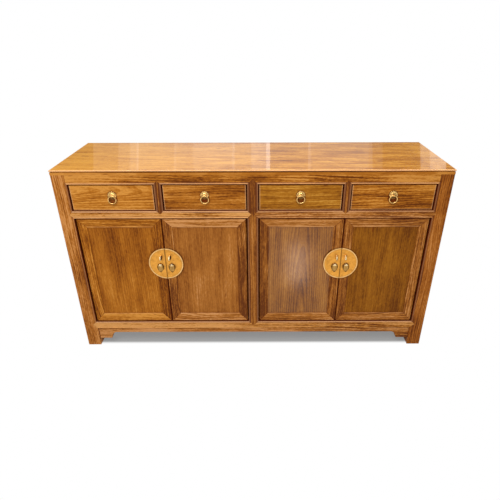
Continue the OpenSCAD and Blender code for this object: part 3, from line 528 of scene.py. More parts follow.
# Where the mitred points of the front's members end, along each member.
MID_TIPS = (STILE_X - RAIL_REACH, OPEN_X + RAIL_REACH)
LOW_TIPS = (-OPEN_X - LOW_RAIL_REACH, OPEN_X + LOW_RAIL_REACH)
STILE_TIPS = (DOOR_LOW_Z - STILE_X, DRAWER_HIGH_Z + STILE_X)
DIVIDER_TIPS = (DRAWER_LOW_Z - DIVIDER_W / 2, DRAWER_HIGH_Z + DIVIDER_W / 2)


def opening_distance(place):
    """Distance from the nearest opening of the front, measured with square corners."""
    across, up = abs(place.x), place.z
    gaps = []
    for (left, right), (low, high) in OPENINGS:
        aside = abs(across - (left + right) / 2) - (right - left) / 2
        gaps.append(aside.most(abs(up - (low + high) / 2) - (high - low) / 2))
    return reduce(Term.least, gaps)


def behind_face(place, near, far, end):
    """1 a little behind the front face, fading to a quarter at some depth."""
    depth = place.y - FACE_Y
    return depth.smooth(near, far) * (1 - depth.smooth(end - 6 * MM, end) * 0.75)


def near_face(place, front, reach):
    """1 at a front face, fading to 0 at some depth behind it."""
    return 1 - (place.y - front).smooth(reach * 0.4, reach)


def front_shade_and_seams(seam):
    """Painted shade in the openings of the front, on the edges beside them and in the quirk beside the beads,
    and dark lines in a member's own seams.
    """
    def shade_and_dirt(place):
        gap = opening_distance(place)
        wall = (1 - gap.smooth(0.2 * MM, 1.2 * MM)) * behind_face(place, 0.5 * MM, 4 * MM, 30 * MM) * 0.95
        brim = (1 - gap.smooth(0.6 * MM, 2.4 * MM)) * (near_face(place, FACE_Y, 20 * MM) * 0.63 + 0.27)
        quirk = line(gap - BEAD_W - 2 * MM, 2 * MM) * 0.45
        found = wall.most(brim).most(quirk)
        return found.most(seam(place) * 0.8) if seam else found
    return shade_and_dirt


def fitting_shadow(place, node, seam_side=0):
    """Painted contact shadow on the wood round a fitting; seam_side is -1 or 1 where half a disc is fitted.
    """
    box = Box(node)
    mid_x = {-1: box.low[X], 0: box.mid[X], 1: box.high[X]}[seam_side]
    out = length(place.x - mid_x, place.z - box.mid[Z])
    return 1 - (out - box.half[Z]).smooth(0.0, FITTING_SHADOW_W)


def post_shade_lift(place):
    """Posts take painted shade beside the openings, and are darker between the drawers."""
    across = place.x
    shaded = (opening_distance(place).smooth(4 * MM, 16 * MM) - 1) * 0.42
    beside_drawers = place.z.smooth(DOOR_HIGH_Z, DRAWER_LOW_Z)
    middle_post = (1 - abs(across).smooth(0.05, 0.08)) * 0.42
    return shaded - beside_drawers * (middle_post + across.smooth(-0.2, 0.75) * 0.18 + 0.08)


def top_rail_lift(place):
    """The front top rail is lightest at its left end and darkest over the middle drawers."""
    across = place.x
    return (1 - across.smooth(-0.62, -0.38)) * 0.30 - (1 - abs(across).smooth(0.30, 0.65)) * 0.16


def fade(left, right):
    """Tone that changes from the left to the right of the front."""
    def lift(place):
        return place.x.smooth(-0.6, 0.6) * (right - left) + left
    return lift


def bead_highlight_and_wear(share):
    """Painted highlight, with some wear, on the round of a bead; less on the lower bead of a middle rail."""
    def rubbed(place):
        up = place.z
        lower = (up > DOOR_HIGH_Z) * (up < RAIL_MIDDLE_Z)
        return line(opening_distance(place) - BEAD_W * 0.65, BEAD_W) * (share - lower * (share * 0.7))
    return rubbed


def pointed_seam(axis, tips, side_middle):
    """Dark lines along both mitred points of a member of the front, mirrored about x = 0."""
    low, high = tips

    def seam(place):
        run, side = abs(place.x), place.z
        if axis == Z:
            run, side = side, run
        inner = (high - low) / 2 - abs(run - (low + high) / 2) - abs(side - side_middle)
        return line(inner * math.sqrt(0.5), bpy.context.scene.sideboard_wood.seam)
    return seam


def shouldered_seam(place):
    """Dark lines where the top rail meets the legs, mitred on its bead."""
    across, up = abs(place.x), place.z
    mitre = (up - DRAWER_HIGH_Z - across + OPEN_X) * math.sqrt(0.5)
    return line(mitre.least(OPEN_X + BEAD_W - across), bpy.context.scene.sideboard_wood.seam)


def nosing_drop(place):
    """Distance outward from the sides of the top, and distance down from its face."""
    side = (abs(place.x) - TOP.high[X]).most(TOP.low[Y] - place.y)
    return side, TOP.high[Z] - place.z


def top_joints_and_shade(place):
    """Faint joints between the boards of the top, painted shade under its nosing, and a darker band along its
    back.
    """
    across, deep = place.x, place.y
    first = TOP.low[Y] + FRONT_BOARD_W
    joints = [line(deep - (first + (TOP.high[Y] - first) * k / 3), 0.9 * MM) * 0.42 for k in range(3)]
    side, drop = nosing_drop(place)
    quirk = side.smooth(-8 * MM, -3 * MM) * line(drop - NOSE_H - QUIRK_H / 2, QUIRK_H * 1.2)
    wide = across.smooth(-0.75, -0.45) * (1 - across.smooth(0.35, 0.60))
    back = deep.smooth(TOP.high[Y] - 16 * MM, TOP.high[Y] - 5 * MM) * (across.smooth(0.0, 0.5) * 0.35 + 0.10)
    return reduce(Term.most, joints + [quirk * (wide * 0.70 + 0.27), back])


def nosing_highlight(place):
    """Painted highlight on the round of the nosing."""
    side, drop = nosing_drop(place)
    return side.smooth(-6 * MM, -2 * MM) * (drop < NOSE_H) * 0.8


def top_strip(place):
    """1 on the strip under the nosing."""
    return nosing_drop(place)[1] > NOSE_H


def top_lift(place):
    """The top is lighter to the left and at its right end, and the strip under the nosing is darker."""
    across = place.x
    bleached = (1 - across.smooth(-0.70, 0.15)) * 0.27 + across.smooth(0.70, 0.735) * 0.20
    return bleached - top_strip(place) * 0.08


def apron_shade(place):
    """Painted shade where the front apron meets the legs."""
    gap = Box("leg_front_right").low[X] - abs(place.x)
    return (1 - gap.smooth(1.5 * MM, 5 * MM)) * 0.85


# Tints of the wood. The rosy, washed, pink and dun tints add blue and paleness: painted sheen, the reflection
# of the bright floor painted into the colour.
REDDER = (0.95, 0.90, 1.2)
GOLDEN = (1.04, 1.04, 0.95)
PINK_SHEEN = (1.02, 1.04, 1.6)
OLIVE = (0.98, 1.10, 0.90)
ROSY_SHEEN = (1.0, 1.07, 1.9)
DUN_SHEEN = (0.96, 1.10, 1.4)
WASHED_SHEEN = (1.10, 1.22, 1.9)
SUNNED = (1.20, 1.30, 0.90)

# Painted highlight with wear of the beads, the share for posts where no rail is named, and rails whose tone
# changes along them.
BEAD_HIGHLIGHT = {
    "rail_front_top": 0.45, "rail_front_mid_left": 0.85,
    "rail_front_mid_right": 0.45, "rail_front_bottom": 0.9,
}
POST_HIGHLIGHT = 0.18
RAIL_LIFTS = {"rail_front_top": top_rail_lift, "rail_front_bottom": fade(0.34, -0.44)}

MID_SEAM = pointed_seam(X, MID_TIPS, RAIL_MIDDLE_Z)
# Direction of the grain, cut and seams of each node of the front frame; the lighter tones of the left middle
# rail and the bottom rail are partly painted sheen.
FRONT_FRAME = {
    "leg_front_left": (Z, Cut(tone=0.12, figure=1.3, tint=PINK_SHEEN), None),
    "leg_front_right": (Z, Cut(tone=-0.06, tint=REDDER), None),
    "rail_front_top": (X, Cut(tone=0.06, figure=1.6, wave=0.5, heart=0.02), shouldered_seam),
    "rail_front_mid_left": (X, Cut(tone=0.34, figure=1.8, tint=WASHED_SHEEN), MID_SEAM),
    "rail_front_mid_right": (X, Cut(tone=0.10, figure=1.8, tint=ROSY_SHEEN), MID_SEAM),
    "rail_front_bottom": (
        X, Cut(tone=0.32, figure=1.9, tint=WASHED_SHEEN), pointed_seam(X, LOW_TIPS, (LOW_RAIL_Z + DOOR_LOW_Z) / 2)),
    "stile_front_centre": (Z, Cut(tone=-0.16, tint=ROSY_SHEEN), pointed_seam(Z, STILE_TIPS, 0.0)),
    "drawer_dividers": (
        Z, Cut(tone=-0.46, figure=1.3, tint=ROSY_SHEEN), pointed_seam(Z, DIVIDER_TIPS, DIVIDER_X)),
}
# Direction of the grain and cut of each other node of the case that shows.
SIDE_FRAME = {
    "leg_back_left": (Z, Cut()),
    "leg_back_right": (Z, Cut()),
    "apron_front": (X, Cut(tone=0.10, figure=1.5, tint=ROSY_SHEEN)),
    "aprons_side": (Y, Cut()),
    "rails_side_left": (Y, Cut(tone=0.03)),
    "rails_side_right": (Y, Cut(tone=0.03)),
    "panel_side_left": (Z, Cut(tone=-0.05, figure=0.9, heart=0.0, slope=0.05, rings=0.8)),
    "panel_side_right": (Z, Cut(tone=-0.05, figure=0.9, heart=0.01, slope=0.05, rings=0.8)),
    "rails_back": (X, Cut(tone=-0.06, dull=0.12)),
    "stile_back": (Z, Cut(tone=-0.06, dull=0.12)),
    "panels_back": (Z, Cut(tone=-0.04, figure=0.7, dull=0.15, heart=0.03)),
}
TOP_CUT = Cut(tone=0.09, figure=1.0, rings=0.8, heart=0.02, depth=0.08, slope=0.10, coarse=1.6, fan=0.65,
              tint=SUNNED, coat=1.0, coat_rough=0.04, level_coat=True)
TOP_SEED, INNER_SEED = 31, 51
INNER_PIECES = {
    "top_battens": Y, "floor_boards": X, "partition_centre": Z, "drawer_runners": Y,
    "shelves": X, "shelf_cleats": Y, "stop_blocks": X,
}


class SIDEBOARD_OT_case_wood(bpy.types.Operator):
    """Finishes the legs, rails, panels and boards of the case"""

    bl_idname = "sideboard.case_wood"
    bl_label = "Case wood"

    def execute(self, context):
        for seed, (name, (axis, cut, seam)) in enumerate(FRONT_FRAME.items(), 1):
            lift = post_shade_lift if axis == Z else RAIL_LIFTS.get(name)
            elm(name, axis, seed, cut, lift=lift, shade_and_dirt=front_shade_and_seams(seam),
                rubbed=bead_highlight_and_wear(BEAD_HIGHLIGHT.get(name, POST_HIGHLIGHT)))
        for seed, (name, (axis, cut)) in enumerate(SIDE_FRAME.items(), 1 + len(FRONT_FRAME)):
            lift, shade_and_dirt = (fade(0.18, -0.14), apron_shade) if name == "apron_front" else (None, None)
            elm(name, axis, seed, cut, lift=lift, shade_and_dirt=shade_and_dirt)
        elm("top_boards", X, TOP_SEED, TOP_CUT, lift=top_lift, plain=top_strip, shade_and_dirt=top_joints_and_shade, rubbed=nosing_highlight)
        for seed, (name, axis) in enumerate(INNER_PIECES.items(), INNER_SEED):
            elm(name, axis, seed, Cut(pale=True))
        return {"FINISHED"}


DRAWER_CUTS = {
    1: Cut(tone=0.20, rings=0.7, heart=-0.028, slope=0.10, wave=1.2, tint=GOLDEN),
    2: Cut(tone=-0.14, figure=1.2, heart=0.06, slope=0.02),
    3: Cut(tone=-0.08, heart=0.07, slope=0.01, tint=OLIVE),
    4: Cut(tone=-0.15, figure=1.4, heart=-0.06, slope=0.03, tint=GOLDEN),
}
# Drawer 1 is lighter on its left than on its right by this.
BLEACH = 0.26
DRAWER_SIDE_T = 12 * MM
FRONT_SEED, BOX_SEED = 60, 80


class SIDEBOARD_OT_drawer_wood(bpy.types.Operator):
    """Finishes the drawer fronts and boxes"""

    bl_idname = "sideboard.drawer_wood"
    bl_label = "Drawer wood"

    def execute(self, context):
        for number in NUMBERS:
            self.front(number)
            self.box(number)
        return {"FINISHED"}

    def front(self, number):
        box = Box(f"drawer_{number}_front")

        # Painted shade on the sides of the front in its gap and under the rail above it, and painted shadow
        # round the ring and rosette.
        def shade_and_dirt(place):
            edge = (place.y - box.low[Y]).smooth(2.2 * MM, 4 * MM) * 0.93
            edge = edge.most((place.z - box.high[Z]).smooth(-3.5 * MM, -1 * MM) * 0.80)
            edge = edge * near_face(place, box.low[Y], 10 * MM)
            ring = fitting_shadow(place, f"drawer_{number}_ring") * 0.80
            ring = ring.most(fitting_shadow(place, f"drawer_{number}_rosette") * 0.70)
            return edge.most(ring * near_face(place, box.low[Y], 5 * MM))

        # Painted highlight on the sides and bottom edge of the front.
        def arris_highlight(place):
            side = abs(place.x - box.mid[X]) - box.half[X]
            return side.most(box.low[Z] - place.z).smooth(-5 * MM, -2 * MM) * 0.42

        def bleached(place):
            return (box.mid[X] - place.x) * (BLEACH / 2 / box.half[X])

        elm(f"drawer_{number}_front", X, FRONT_SEED + number, DRAWER_CUTS[number],
            lift=bleached if number == 1 else None, shade_and_dirt=shade_and_dirt, rubbed=arris_highlight)

    def box(self, number):
        box = Box(f"drawer_{number}_box")

        def on_side(place):
            return abs(place.x - box.mid[X]) > box.half[X] - DRAWER_SIDE_T

        elm(f"drawer_{number}_box", Y, BOX_SEED + number, Cut(pale=True), member=on_side)


DOOR_RAIL_W = 40 * MM
PANEL_CUT = Cut(rings=0.3, streak=0.5, slope=0.01, wave=0.35)
PANEL_CUTS = {
    1: PANEL_CUT._replace(tone=-0.20, figure=0.80, heart=0.09, tint=GOLDEN),
    2: PANEL_CUT._replace(tone=-0.15, figure=0.75, heart=-0.09, tint=ROSY_SHEEN),
    3: Cut(tone=-0.24, figure=0.65, rings=0.9, streak=0.4, heart=-0.012, slope=0.05, wave=0.4,
           tint=DUN_SHEEN, coat=0.6),
    4: PANEL_CUT._replace(tone=-0.34, figure=0.65, streak=0.6, heart=0.08, tint=OLIVE),
}
# Painted sheen of each panel, a lighter spot: its place from the panel's middle, its reach and its strength.
PANEL_SHEENS = {
    1: (-30 * MM, -150 * MM, 260 * MM, 0.22), 2: (20 * MM, -70 * MM, 220 * MM, 0.10),
    3: (0.0, 15 * MM, 220 * MM, 0.14), 4: (-10 * MM, 30 * MM, 200 * MM, 0.06),
}
FRAME_CUT = Cut(tone=-0.22, figure=1.3, wave=1.2, heart=0.02, tint=ROSY_SHEEN)
FRAME_CUTS = {
    1: FRAME_CUT._replace(tone=-0.14, tint=GOLDEN), 2: FRAME_CUT._replace(tone=-0.14, wave=1.4),
    3: FRAME_CUT, 4: FRAME_CUT,
}
# Lift of the tone of each door's top rail, low rail, left stile and right stile; the light top rail of door 2
# and low rail of door 1 are partly painted sheen.
FRAME_TONES = {
    1: (0.00, 0.30, 0.00, -0.20), 2: (0.44, 0.28, 0.00, -0.24),
    3: (0.22, 0.06, -0.30, 0.00), 4: (0.12, 0.08, -0.20, 0.00),
}
FRAME_SEED, FRAME_STEP = 90, 2.7
PANEL_SEED, PANEL_STEP = 110, 1.9


class SIDEBOARD_OT_door_wood(bpy.types.Operator):
    """Finishes the mitred door frames and their panels"""

    bl_idname = "sideboard.door_wood"
    bl_label = "Door wood"

    def execute(self, context):
        for number in NUMBERS:
            self.door(number)
        return {"FINISHED"}

    def door(self, number):
        box = Box(f"door_{number}_frame")
        panel_front = Box(f"door_{number}_panel").low[Y]

        def margins(place):
            """Distances from the outer edges of the stiles and of the rails."""
            side = box.half[X] - abs(place.x - box.mid[X])
            return side, box.half[Z] - PIN_REACH - abs(place.z - box.mid[Z])

        def on_rail(place):
            side, end = margins(place)
            return end < side

        def on_upper(place):
            return place.z > box.mid[Z]

        def on_right(place):
            return place.x > box.mid[X]

        def member(place):
            rail = on_rail(place)
            return rail * (on_upper(place) + 1) + (1 - rail) * (on_right(place) + 3)

        def plate_shadow(place):
            return fitting_shadow(place, f"door_{number}_plate", 1 if number in LEFT_DOORS else -1)

        # Dark mitre lines, painted shade on the outer edges in the gaps and along the face's edge, and
        # painted shadow round the plate.
        def frame_shade_and_mitres(place):
            side, end = margins(place)
            mitre = line((side - end) * math.sqrt(0.5), bpy.context.scene.sideboard_wood.seam) * 0.75
            edge, ring = side.least(end), plate_shadow(place)
            outer = (1 - edge.smooth(0.3 * MM, 1.4 * MM)) * behind_face(place, 4.5 * MM, 7 * MM, 14 * MM)
            outer = outer * 0.93 * (1 - ring * 0.45)
            front = near_face(place, box.low[Y], 10 * MM)
            brim = (1 - edge.smooth(0.8 * MM, 2.6 * MM)) * (front * 0.70 + 0.20)
            return mitre.most(outer).most(brim).most(ring * near_face(place, box.low[Y], 5 * MM) * 0.6)

        def frame_lift(place):
            top_tone, low_tone, left_tone, right_tone = FRAME_TONES[number]
            rail = on_upper(place) * (top_tone - low_tone) + low_tone
            stile = on_right(place) * (right_tone - left_tone) + left_tone
            return on_rail(place) * (rail - stile) + stile

        # Painted highlight along the inner edge of the rails.
        def rail_arris_highlight(place):
            inner = reduce(Term.least, margins(place)) - DOOR_RAIL_W
            return line(inner + 2 * MM, 4 * MM) * on_rail(place) * 0.14

        # Painted shade along the panel's edge by the frame, and painted shadow round the plate.
        def panel_edge_shade(place):
            inner = reduce(Term.least, margins(place)) - DOOR_RAIL_W
            edge = (1 - inner.smooth(0.5 * MM, 3 * MM)) * 0.30 + (1 - inner.smooth(0.0, 16 * MM)) * 0.12
            return edge.most(plate_shadow(place) * near_face(place, panel_front, 5 * MM) * 0.6)

        # Painted sheen: a lighter spot on each panel.
        def glow(place):
            aside, up, reach, strength = PANEL_SHEENS[number]
            out = length(place.x - (box.mid[X] + aside), place.z - (box.mid[Z] + up))
            return (1 - out.smooth(0.0, reach)) * strength

        elm(f"door_{number}_frame", Z, FRAME_SEED + number * FRAME_STEP, FRAME_CUTS[number],
            member=member, swap=on_rail, lift=frame_lift, shade_and_dirt=frame_shade_and_mitres, rubbed=rail_arris_highlight)
        elm(f"door_{number}_panel", Z, PANEL_SEED + number * PANEL_STEP, PANEL_CUTS[number],
            lift=glow, shade_and_dirt=panel_edge_shade)


def brass(name, colour, roughness, seed, mottle, shade=None, polish=None):
    """Satin brass with fine scratches and mottled patina; where shade is 1 it is darkened by patina and
    painted shade, and where polish is 1 it takes a painted highlight with some wear.
    """
    look = bpy.context.scene.sideboard_brass
    shader = Shader.material(name)
    place = shader.place()
    cloud = shader.noise(place + (seed, 0.0, seed), 60.0, 3.0)
    speck = shader.noise(place + (0.0, seed, 0.0), 420.0, 2.0)
    brushed = shader.vector(place.x * 240.0, place.y * 240.0, place.z * 2600.0)
    hair = shader.noise(brushed, 1.0, 2.0)
    stain = (cloud.smooth(0.35, 0.8) * 0.7 + speck.smooth(0.5, 0.8) * 0.5) * mottle
    metal = 1.0
    if shade:
        stain = stain.most(shade(place))
    if polish:
        rubbed = polish(place)
        colour = shader.mix(rubbed, colour, look.worn)
        metal = 1 - rubbed * (1 - stain.clamped()) * 0.75
    return shader.surface(
        Base_Color=shader.mix(stain, colour, look.tarnish_and_shade), Metallic=metal,
        Roughness=stain * 0.35 + (hair - 0.5) * 0.12 + roughness,
        Normal=shader.bump(speck * 0.5 + hair * 0.3, 0.12 * MM, 0.4))


# Thickness of the plates, and place and size of a lock ear beside its meeting line.
PLATE_T = 2 * MM
EAR_X, EAR_UP, EAR_H, EAR_T = 19 * MM, 31 * MM, 18 * MM, 6 * MM
# Pitch of the scales on a leaf pull, in radians per metre.
SCALE_RATE = 560.0

# Rings of petals on a rosette: count, inner and outer radius as shares of the disc's, heights at both,
# and turn of the first.
PETAL_RINGS = (
    (12, 0.60, 0.985, 1.35 * MM, 1.35 * MM, 0.0),
    (8, 0.30, 0.62, 3.95 * MM, 1.35 * MM, math.pi / 8),
)
# Share of its sector that a petal fills, where its round end starts, and steps of its mesh.
PETAL_FILL, PETAL_ROUND = 0.94, 0.62
PETAL_STEPS, PETAL_SIDES = 10, 6


class SIDEBOARD_OT_brass(bpy.types.Operator):
    """Finishes the plates, rosettes, rings and leaf pulls, and raises the petals of the rosettes"""

    bl_idname = "sideboard.brass"
    bl_label = "Brass"

    def execute(self, context):
        look = context.scene.sideboard_brass
        ring = brass("brass_rings", look.bright, look.satin - 0.14, 2.0, 0.35)
        petal = brass("brass_petals", look.bright, look.satin - 0.12, 5.0, 0.35, self.ring_shadow)
        for number in NUMBERS:
            dress(f"door_{number}_plate", self.plate(number, look))
            dress(f"door_{number}_pull", self.pull(number, look))
            dress(f"drawer_{number}_rosette", self.rosette(number, look))
            dress(f"drawer_{number}_ring", ring)
            self.petals(number, petal, look.petal_rise)
        return {"FINISHED"}

    def plate(self, number, look):
        box, pull = Box(f"door_{number}_plate"), Box(f"door_{number}_pull")
        wood_y = Box(f"door_{number}_frame").low[Y]
        radius = box.half[Z]
        seam_x, inward = (box.high[X], -1) if number in LEFT_DOORS else (box.low[X], 1)
        ear_x = seam_x + inward * EAR_X

        def flat(place):
            """1 on the face of the plate, 0 on what stands off it."""
            return 1 - (wood_y - place.y).smooth(PLATE_T + 0.3 * MM, PLATE_T + 1.5 * MM)

        # Patina in a line inside the rim; darker at the very edge; painted shade along the meeting line,
        # round the root of each ear and on its shaded side, and round the top of each pull.
        def shade(place):
            side, up = place.x - seam_x, place.z - box.mid[Z]
            out = length(side, up)
            rim = line(out - radius + 7 * MM, 2 * MM) * 0.30
            edge = out.smooth(radius - 1.5 * MM, radius) * 0.7
            seam = (1 - abs(side).smooth(1.5 * MM, 4 * MM)) * 0.50
            beside = place.x - ear_x
            root = line(beside - EAR_T / 2 - 1 * MM, 3 * MM) * line(up - EAR_UP, EAR_H * 0.75) * 0.9
            ear_shaded_side = beside.smooth(0.0, 2 * MM) * (1 - flat(place)) * 0.9
            tall = (place.z - pull.mid[Z]) / pull.half[Z]
            ring = length((place.x - pull.mid[X]) / pull.half[X], tall)
            pull_shadow = (1 - abs(ring - 1.0).smooth(0.05, 0.22)) * 0.65 * tall.smooth(-0.5, 0.3)
            return rim.most(edge).most(seam).most(root.most(pull_shadow) * flat(place)).most(ear_shaded_side)

        # Painted highlight on a line inside the rim, on what stands off the plate and on faces turned from
        # the front, with some wear.
        def polish(place):
            out = length(place.x - seam_x, place.z - box.mid[Z])
            rim = line(out - radius + 3.5 * MM, 3 * MM) * 0.5
            turned = 1 - abs(place.shader.facing().y).smooth(0.3, 0.7)
            return rim.most(1 - flat(place)).most(turned)

        return brass(f"brass_plate_{number}", look.gold, look.satin, number * 1.7, 0.45, shade, polish)

    def pull(self, number, look):
        box = Box(f"door_{number}_pull")

        # Painted shade on faces turned from the front, scales on the leaf, and painted shade with patina
        # round its edge.
        def shade(place):
            facing = abs(place.shader.facing().y)
            aside, down = place.x - box.mid[X], box.high[Z] - place.z
            cells = ((down + aside) * SCALE_RATE).sine() * ((down - aside) * SCALE_RATE).sine()
            scales = (1 - cells.smooth(-0.2, 0.4)) * down.smooth(8 * MM, 12 * MM) * 0.8
            wide, tall = aside / (14 * MM), (down - 20 * MM) / (22 * MM)
            brim = (wide * wide + tall * tall).smooth(0.36, 0.68) * down.smooth(6 * MM, 10 * MM) * 0.92
            return (1 - facing.smooth(0.4, 0.95)).most(scales).most(brim)

        # Painted highlight on the eyelet, with some wear.
        def polish(place):
            eyelet = place.z > box.high[Z] - 10 * MM
            return eyelet * (1 - abs(place.x - box.mid[X]).smooth(4 * MM, 8 * MM)) * 0.95

        return brass(f"bronze_pull_{number}", look.bronze, look.satin - 0.1, number * 2.3, 0.4, shade, polish)

    def rosette(self, number, look):
        wood_y = Box(f"drawer_{number}_front").low[Y]

        # The rosette is darker at its foot by the wood, and takes the painted shadow of its ring.
        def shade(place):
            rim = (1 - (wood_y - place.y).smooth(0.2 * MM, 2.2 * MM)) * 0.85
            return rim.most(self.ring_shadow(place))

        return brass(f"brass_rosette_{number}", look.bright, look.satin - 0.12, number * 3.1, 0.35, shade)

    @staticmethod
    def ring_shadow(place):
        """Painted shadow on the lower part of a rosette, which its ring covers."""
        drop = Box("drawer_1_rosette").mid[Z] - place.z
        return drop.smooth(3 * MM, 8 * MM) * 0.85

    def petals(self, number, material, rise):
        """Domed petals on the disc and on the boss of a rosette, in one mesh."""
        box = Box(f"drawer_{number}_rosette")
        radius = box.half[X]
        centre = Vector((box.mid[X], box.high[Y], box.mid[Z]))
        mesh = bmesh.new()
        for count, inner, outer, low_h, high_h, turn in PETAL_RINGS:
            for k in range(count):
                self.petal(mesh, centre, turn + k * 2 * math.pi / count, math.pi / count,
                           (inner * radius, outer * radius), (low_h, high_h), rise)
        bmesh.ops.recalc_face_normals(mesh, faces=mesh.faces)
        data = bpy.data.meshes.new(f"petals_{number}")
        mesh.to_mesh(data)
        mesh.free()
        data.shade_smooth()
        data.materials.append(material)
        piece = add_object(f"petals_{number}", data)
        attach(piece, f"drawer_{number}")

    @staticmethod
    def petal(mesh, centre, angle, half_angle, reach, heights, rise):
        """One petal: a closed dome along a radius, round at its outer end."""
        rows = []
        for i in range(PETAL_STEPS + 1):
            t = i / PETAL_STEPS
            out = reach[0] + (reach[1] - reach[0]) * t
            past = max(0.0, (t - PETAL_ROUND) / (1 - PETAL_ROUND))
            width = PETAL_FILL * half_angle * out * math.sqrt(max(0.0, 1 - past ** 2.2))
            base = heights[0] + (heights[1] - heights[0]) * t
            dome = rise * math.sin(math.pi * min(1.0, 0.12 + 0.88 * t)) ** 0.6 if t < 1 else 0.0
            row = []
            for j in range(PETAL_SIDES + 1):
                s = j / PETAL_SIDES * 2 - 1
                x = out * math.cos(angle) - s * width * math.sin(angle)
                z = out * math.sin(angle) + s * width * math.cos(angle)
                up = base + dome * (1 - s * s)
                row.append(mesh.verts.new(centre + Vector((x, -up, z))))
            rows.append(row)
        for one, two in zip(rows, rows[1:]):
            for j in range(PETAL_SIDES):
                mesh.faces.new((one[j], one[j + 1], two[j + 1], two[j]))


def lamp(name, place, target, size, power, diffuse=True, gloss=True):
    """A soft lamp that looks at a target, unseen by the camera."""
    data = bpy.data.lights.new(name, "AREA")
    data.shape = "RECTANGLE"
    data.size, data.size_y = size
    data.energy = power
    obj = add_object(name, data)
    obj.location = place
    obj.rotation_euler = (Vector(target) - Vector(place)).to_track_quat("-Z", "Y").to_euler()
    obj.visible_camera = False
    obj.visible_diffuse = diffuse
    obj.visible_glossy = gloss
    return obj


def card(name, place, target, size, brightness):
    """A glowing card that shows in polished faces only."""
    power = brightness * math.pi * size[0] * size[1]
    return lamp(name, place, target, size, power, diffuse=False)


def light_only(light, objects):
    """Lets a light reach these objects alone."""
    group = bpy.data.collections.new(f"{light.name}_lights")
    for obj in objects:
        group.objects.link(obj)
    light.light_linking.receiver_collection = group


# Windows that the polished top reflects: left side, right side and brightness.
WINDOWS = (
    (-1.93, -1.64, 0.17), (-1.64, -1.50, 0.32), (-1.50, -1.42, 0.50), (-1.42, -1.395, 0.72),
    (-1.395, -0.975, 0.42), (-0.975, -0.95, 0.64), (-0.95, -0.75, 0.50), (-0.75, -0.285, 0.62),
    (-0.285, -0.255, 0.80), (-0.255, -0.06, 0.52), (-0.06, 0.118, 0.75), (0.118, 0.165, 1.35),
    (0.165, 0.615, 0.37), (0.615, 0.65, 0.62), (0.65, 1.33, 0.42), (1.33, 1.38, 0.32),
    (1.38, 1.50, 0.12), (1.95, 2.06, 0.42), (2.06, 2.25, 0.75),
)
WINDOW_Y, WINDOW_Z, WINDOW_H = 3.2, 1.8, 1.4
# Lean of a window per metre aside, at which its reflection stands upright in the picture.
WINDOW_FAN = 0.095
# Place, target and size of each lamp.
FRONT_LAMP = ((-0.6, -2.3, 3.1), (0.0, -0.2, 0.45), (2.4, 1.6))
OVERHEAD_LAMP = ((0.2, 0.3, 3.0), (0.0, 0.0, 0.86), (2.6, 1.4))
# Places of the cards that the fittings reflect, then target, size and brightness.
BRASS_CARD_PLACES = ((-1.5, -2.4, 2.2), (1.1, -2.4, 2.4))
BRASS_CARD = ((0.0, -0.2, 0.6), (1.0, 1.0), 1.6)
# Place, target, size and brightness of the card that the panel of door 3 reflects.
LOW_CARD = ((0.233, -0.60, 0.22), (0.193, -0.213, 0.440), (0.10, 0.20), 4.8)
BRASS_ENDS = ("_plate", "_pull", "_rosette", "_ring")
WHITE = (1.0, 1.0, 1.0, 1.0)


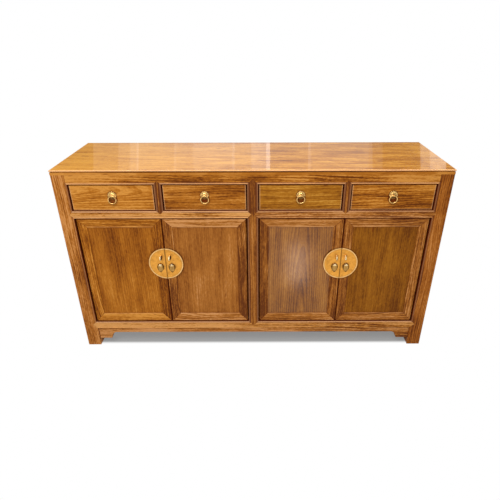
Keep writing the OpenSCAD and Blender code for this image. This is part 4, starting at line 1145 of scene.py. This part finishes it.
class SIDEBOARD_OT_stage(bpy.types.Operator):
    """Builds the floor, the room light, the lamps and the camera"""

    bl_idname = "sideboard.stage"
    bl_label = "Stage"

    def execute(self, context):
        look = context.scene.sideboard_stage
        self.floor(look)
        self.room(context.scene, look)
        self.lamps(look)
        self.camera(context.scene, look)
        return {"FINISHED"}

    def floor(self, look):
        """A white floor; under the object's outline the camera sees a painted grey shadow with a share of the
        real shading, fading at the outline.
        """
        half = look.floor_size / 2
        corners = [(x, y, FLOOR_Z) for x, y in ((-half, -half), (half, -half), (half, half), (-half, half))]
        mesh = bpy.data.meshes.new("floor")
        mesh.from_pydata(corners, [], [(0, 1, 2, 3)])
        ground = add_object("floor", mesh)
        shader = Shader.material("floor_with_painted_shadow")
        seen = shader.ray("Camera").most(shader.ray("Glossy"))
        place = shader.place()
        high = CAD_BOX[1]
        aside = (abs(place.x) - high[X]).most(abs(place.y) - high[Y])
        start, end = look.shadow_edge
        far = aside.smooth(-start, -end)
        bounce = shader.mix(seen, [look.floor_grey] * 3, [look.shadow_depth] * 3)
        matt = shader.node("ShaderNodeBsdfDiffuse", None, {"Color": bounce})
        # Painted shadow: a fixed grey glow inside the outline, white outside it.
        glow = shader.mix(far, [look.shadow_tone] * 3, WHITE)
        shine = shader.node("ShaderNodeEmission", None, {"Color": glow, "Strength": seen})
        both = shader.node("ShaderNodeAddShader", None, {0: matt, 1: shine})
        plain = shader.node("ShaderNodeEmission", None, {"Color": WHITE})
        shader.end(shader.node("ShaderNodeMixShader", None, {0: seen * far, 1: both, 2: plain}))
        ground.data.materials.append(shader.owner)

    def room(self, scene, look):
        """Even light from all sides, white where the camera sees it and dim in polished faces."""
        scene.world = bpy.data.worlds.new("room")
        shader = Shader(scene.world)
        camera, gloss = shader.ray("Camera"), shader.ray("Glossy")
        strength = camera * (1.0 - look.sky) + gloss * (look.gloss_sky - look.sky) + look.sky
        glow = shader.node("ShaderNodeBackground", None, {"Color": WHITE, "Strength": strength})
        shader.end(glow, "ShaderNodeOutputWorld")

    def lamps(self, look):
        lamp("front_lamp", *FRONT_LAMP, look.key_power)
        lamp("overhead_lamp", *OVERHEAD_LAMP, look.top_power, gloss=False)
        for number, (left, right, brightness) in enumerate(WINDOWS):
            middle = (left + right) / 2
            pane = card(f"window_{number}", (middle, WINDOW_Y, WINDOW_Z), (middle, 0.0, WINDOW_Z),
                        (right - left, WINDOW_H), brightness)
            pane.rotation_euler.rotate_axis("Z", middle * WINDOW_FAN)
        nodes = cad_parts
        fittings = [obj for name, obj in nodes.items() if name.endswith(BRASS_ENDS)]
        for number, place in enumerate(BRASS_CARD_PLACES):
            light_only(card(f"brass_card_{number}", place, *BRASS_CARD), fittings)
        light_only(card("low_card", *LOW_CARD), [nodes["door_3_panel"]])

    def camera(self, scene, look):
        data = bpy.data.cameras.new("camera")
        data.lens = look.lens
        data.sensor_width = 36.0
        data.shift_x, data.shift_y = look.shift
        obj = add_object("camera", data)
        pitch = Matrix.Rotation(math.pi / 2 - look.camera_pitch, 4, "X")
        roll = Matrix.Rotation(look.camera_roll, 4, "Z")
        obj.matrix_world = Matrix.Translation(look.camera_place) @ pitch @ roll
        scene.camera = obj
        scene.view_settings.view_transform = "Standard"


class SIDEBOARD_PT_panel(bpy.types.Panel):
    """Lists the steps that dress the sideboard"""

    bl_idname = "SIDEBOARD_PT_panel"
    bl_label = "Sideboard"
    bl_space_type = "VIEW_3D"
    bl_region_type = "UI"
    bl_category = "Sideboard"

    def draw(self, context):
        for step in OPERATORS:
            self.layout.operator(step.bl_idname)


GROUPS = {
    "sideboard_wood": SIDEBOARD_PG_wood,
    "sideboard_brass": SIDEBOARD_PG_brass,
    "sideboard_stage": SIDEBOARD_PG_stage,
}
OPERATORS = (
    SIDEBOARD_OT_stage,
    SIDEBOARD_OT_case_wood,
    SIDEBOARD_OT_drawer_wood,
    SIDEBOARD_OT_door_wood,
    SIDEBOARD_OT_brass,
)


def register():
    for name, group in GROUPS.items():
        bpy.utils.register_class(group)
        setattr(bpy.types.Scene, name, PointerProperty(type=group))
    for cls in OPERATORS + (SIDEBOARD_PT_panel,):
        bpy.utils.register_class(cls)


def unregister():
    for cls in (SIDEBOARD_PT_panel,) + OPERATORS[::-1]:
        bpy.utils.unregister_class(cls)
    for name, group in reversed(GROUPS.items()):
        delattr(bpy.types.Scene, name)
        bpy.utils.unregister_class(group)


def main():
    register()
    for step in OPERATORS:
        group, name = step.bl_idname.split(".")
        getattr(getattr(bpy.ops, group), name)()


if __name__ == "__main__":
    main()
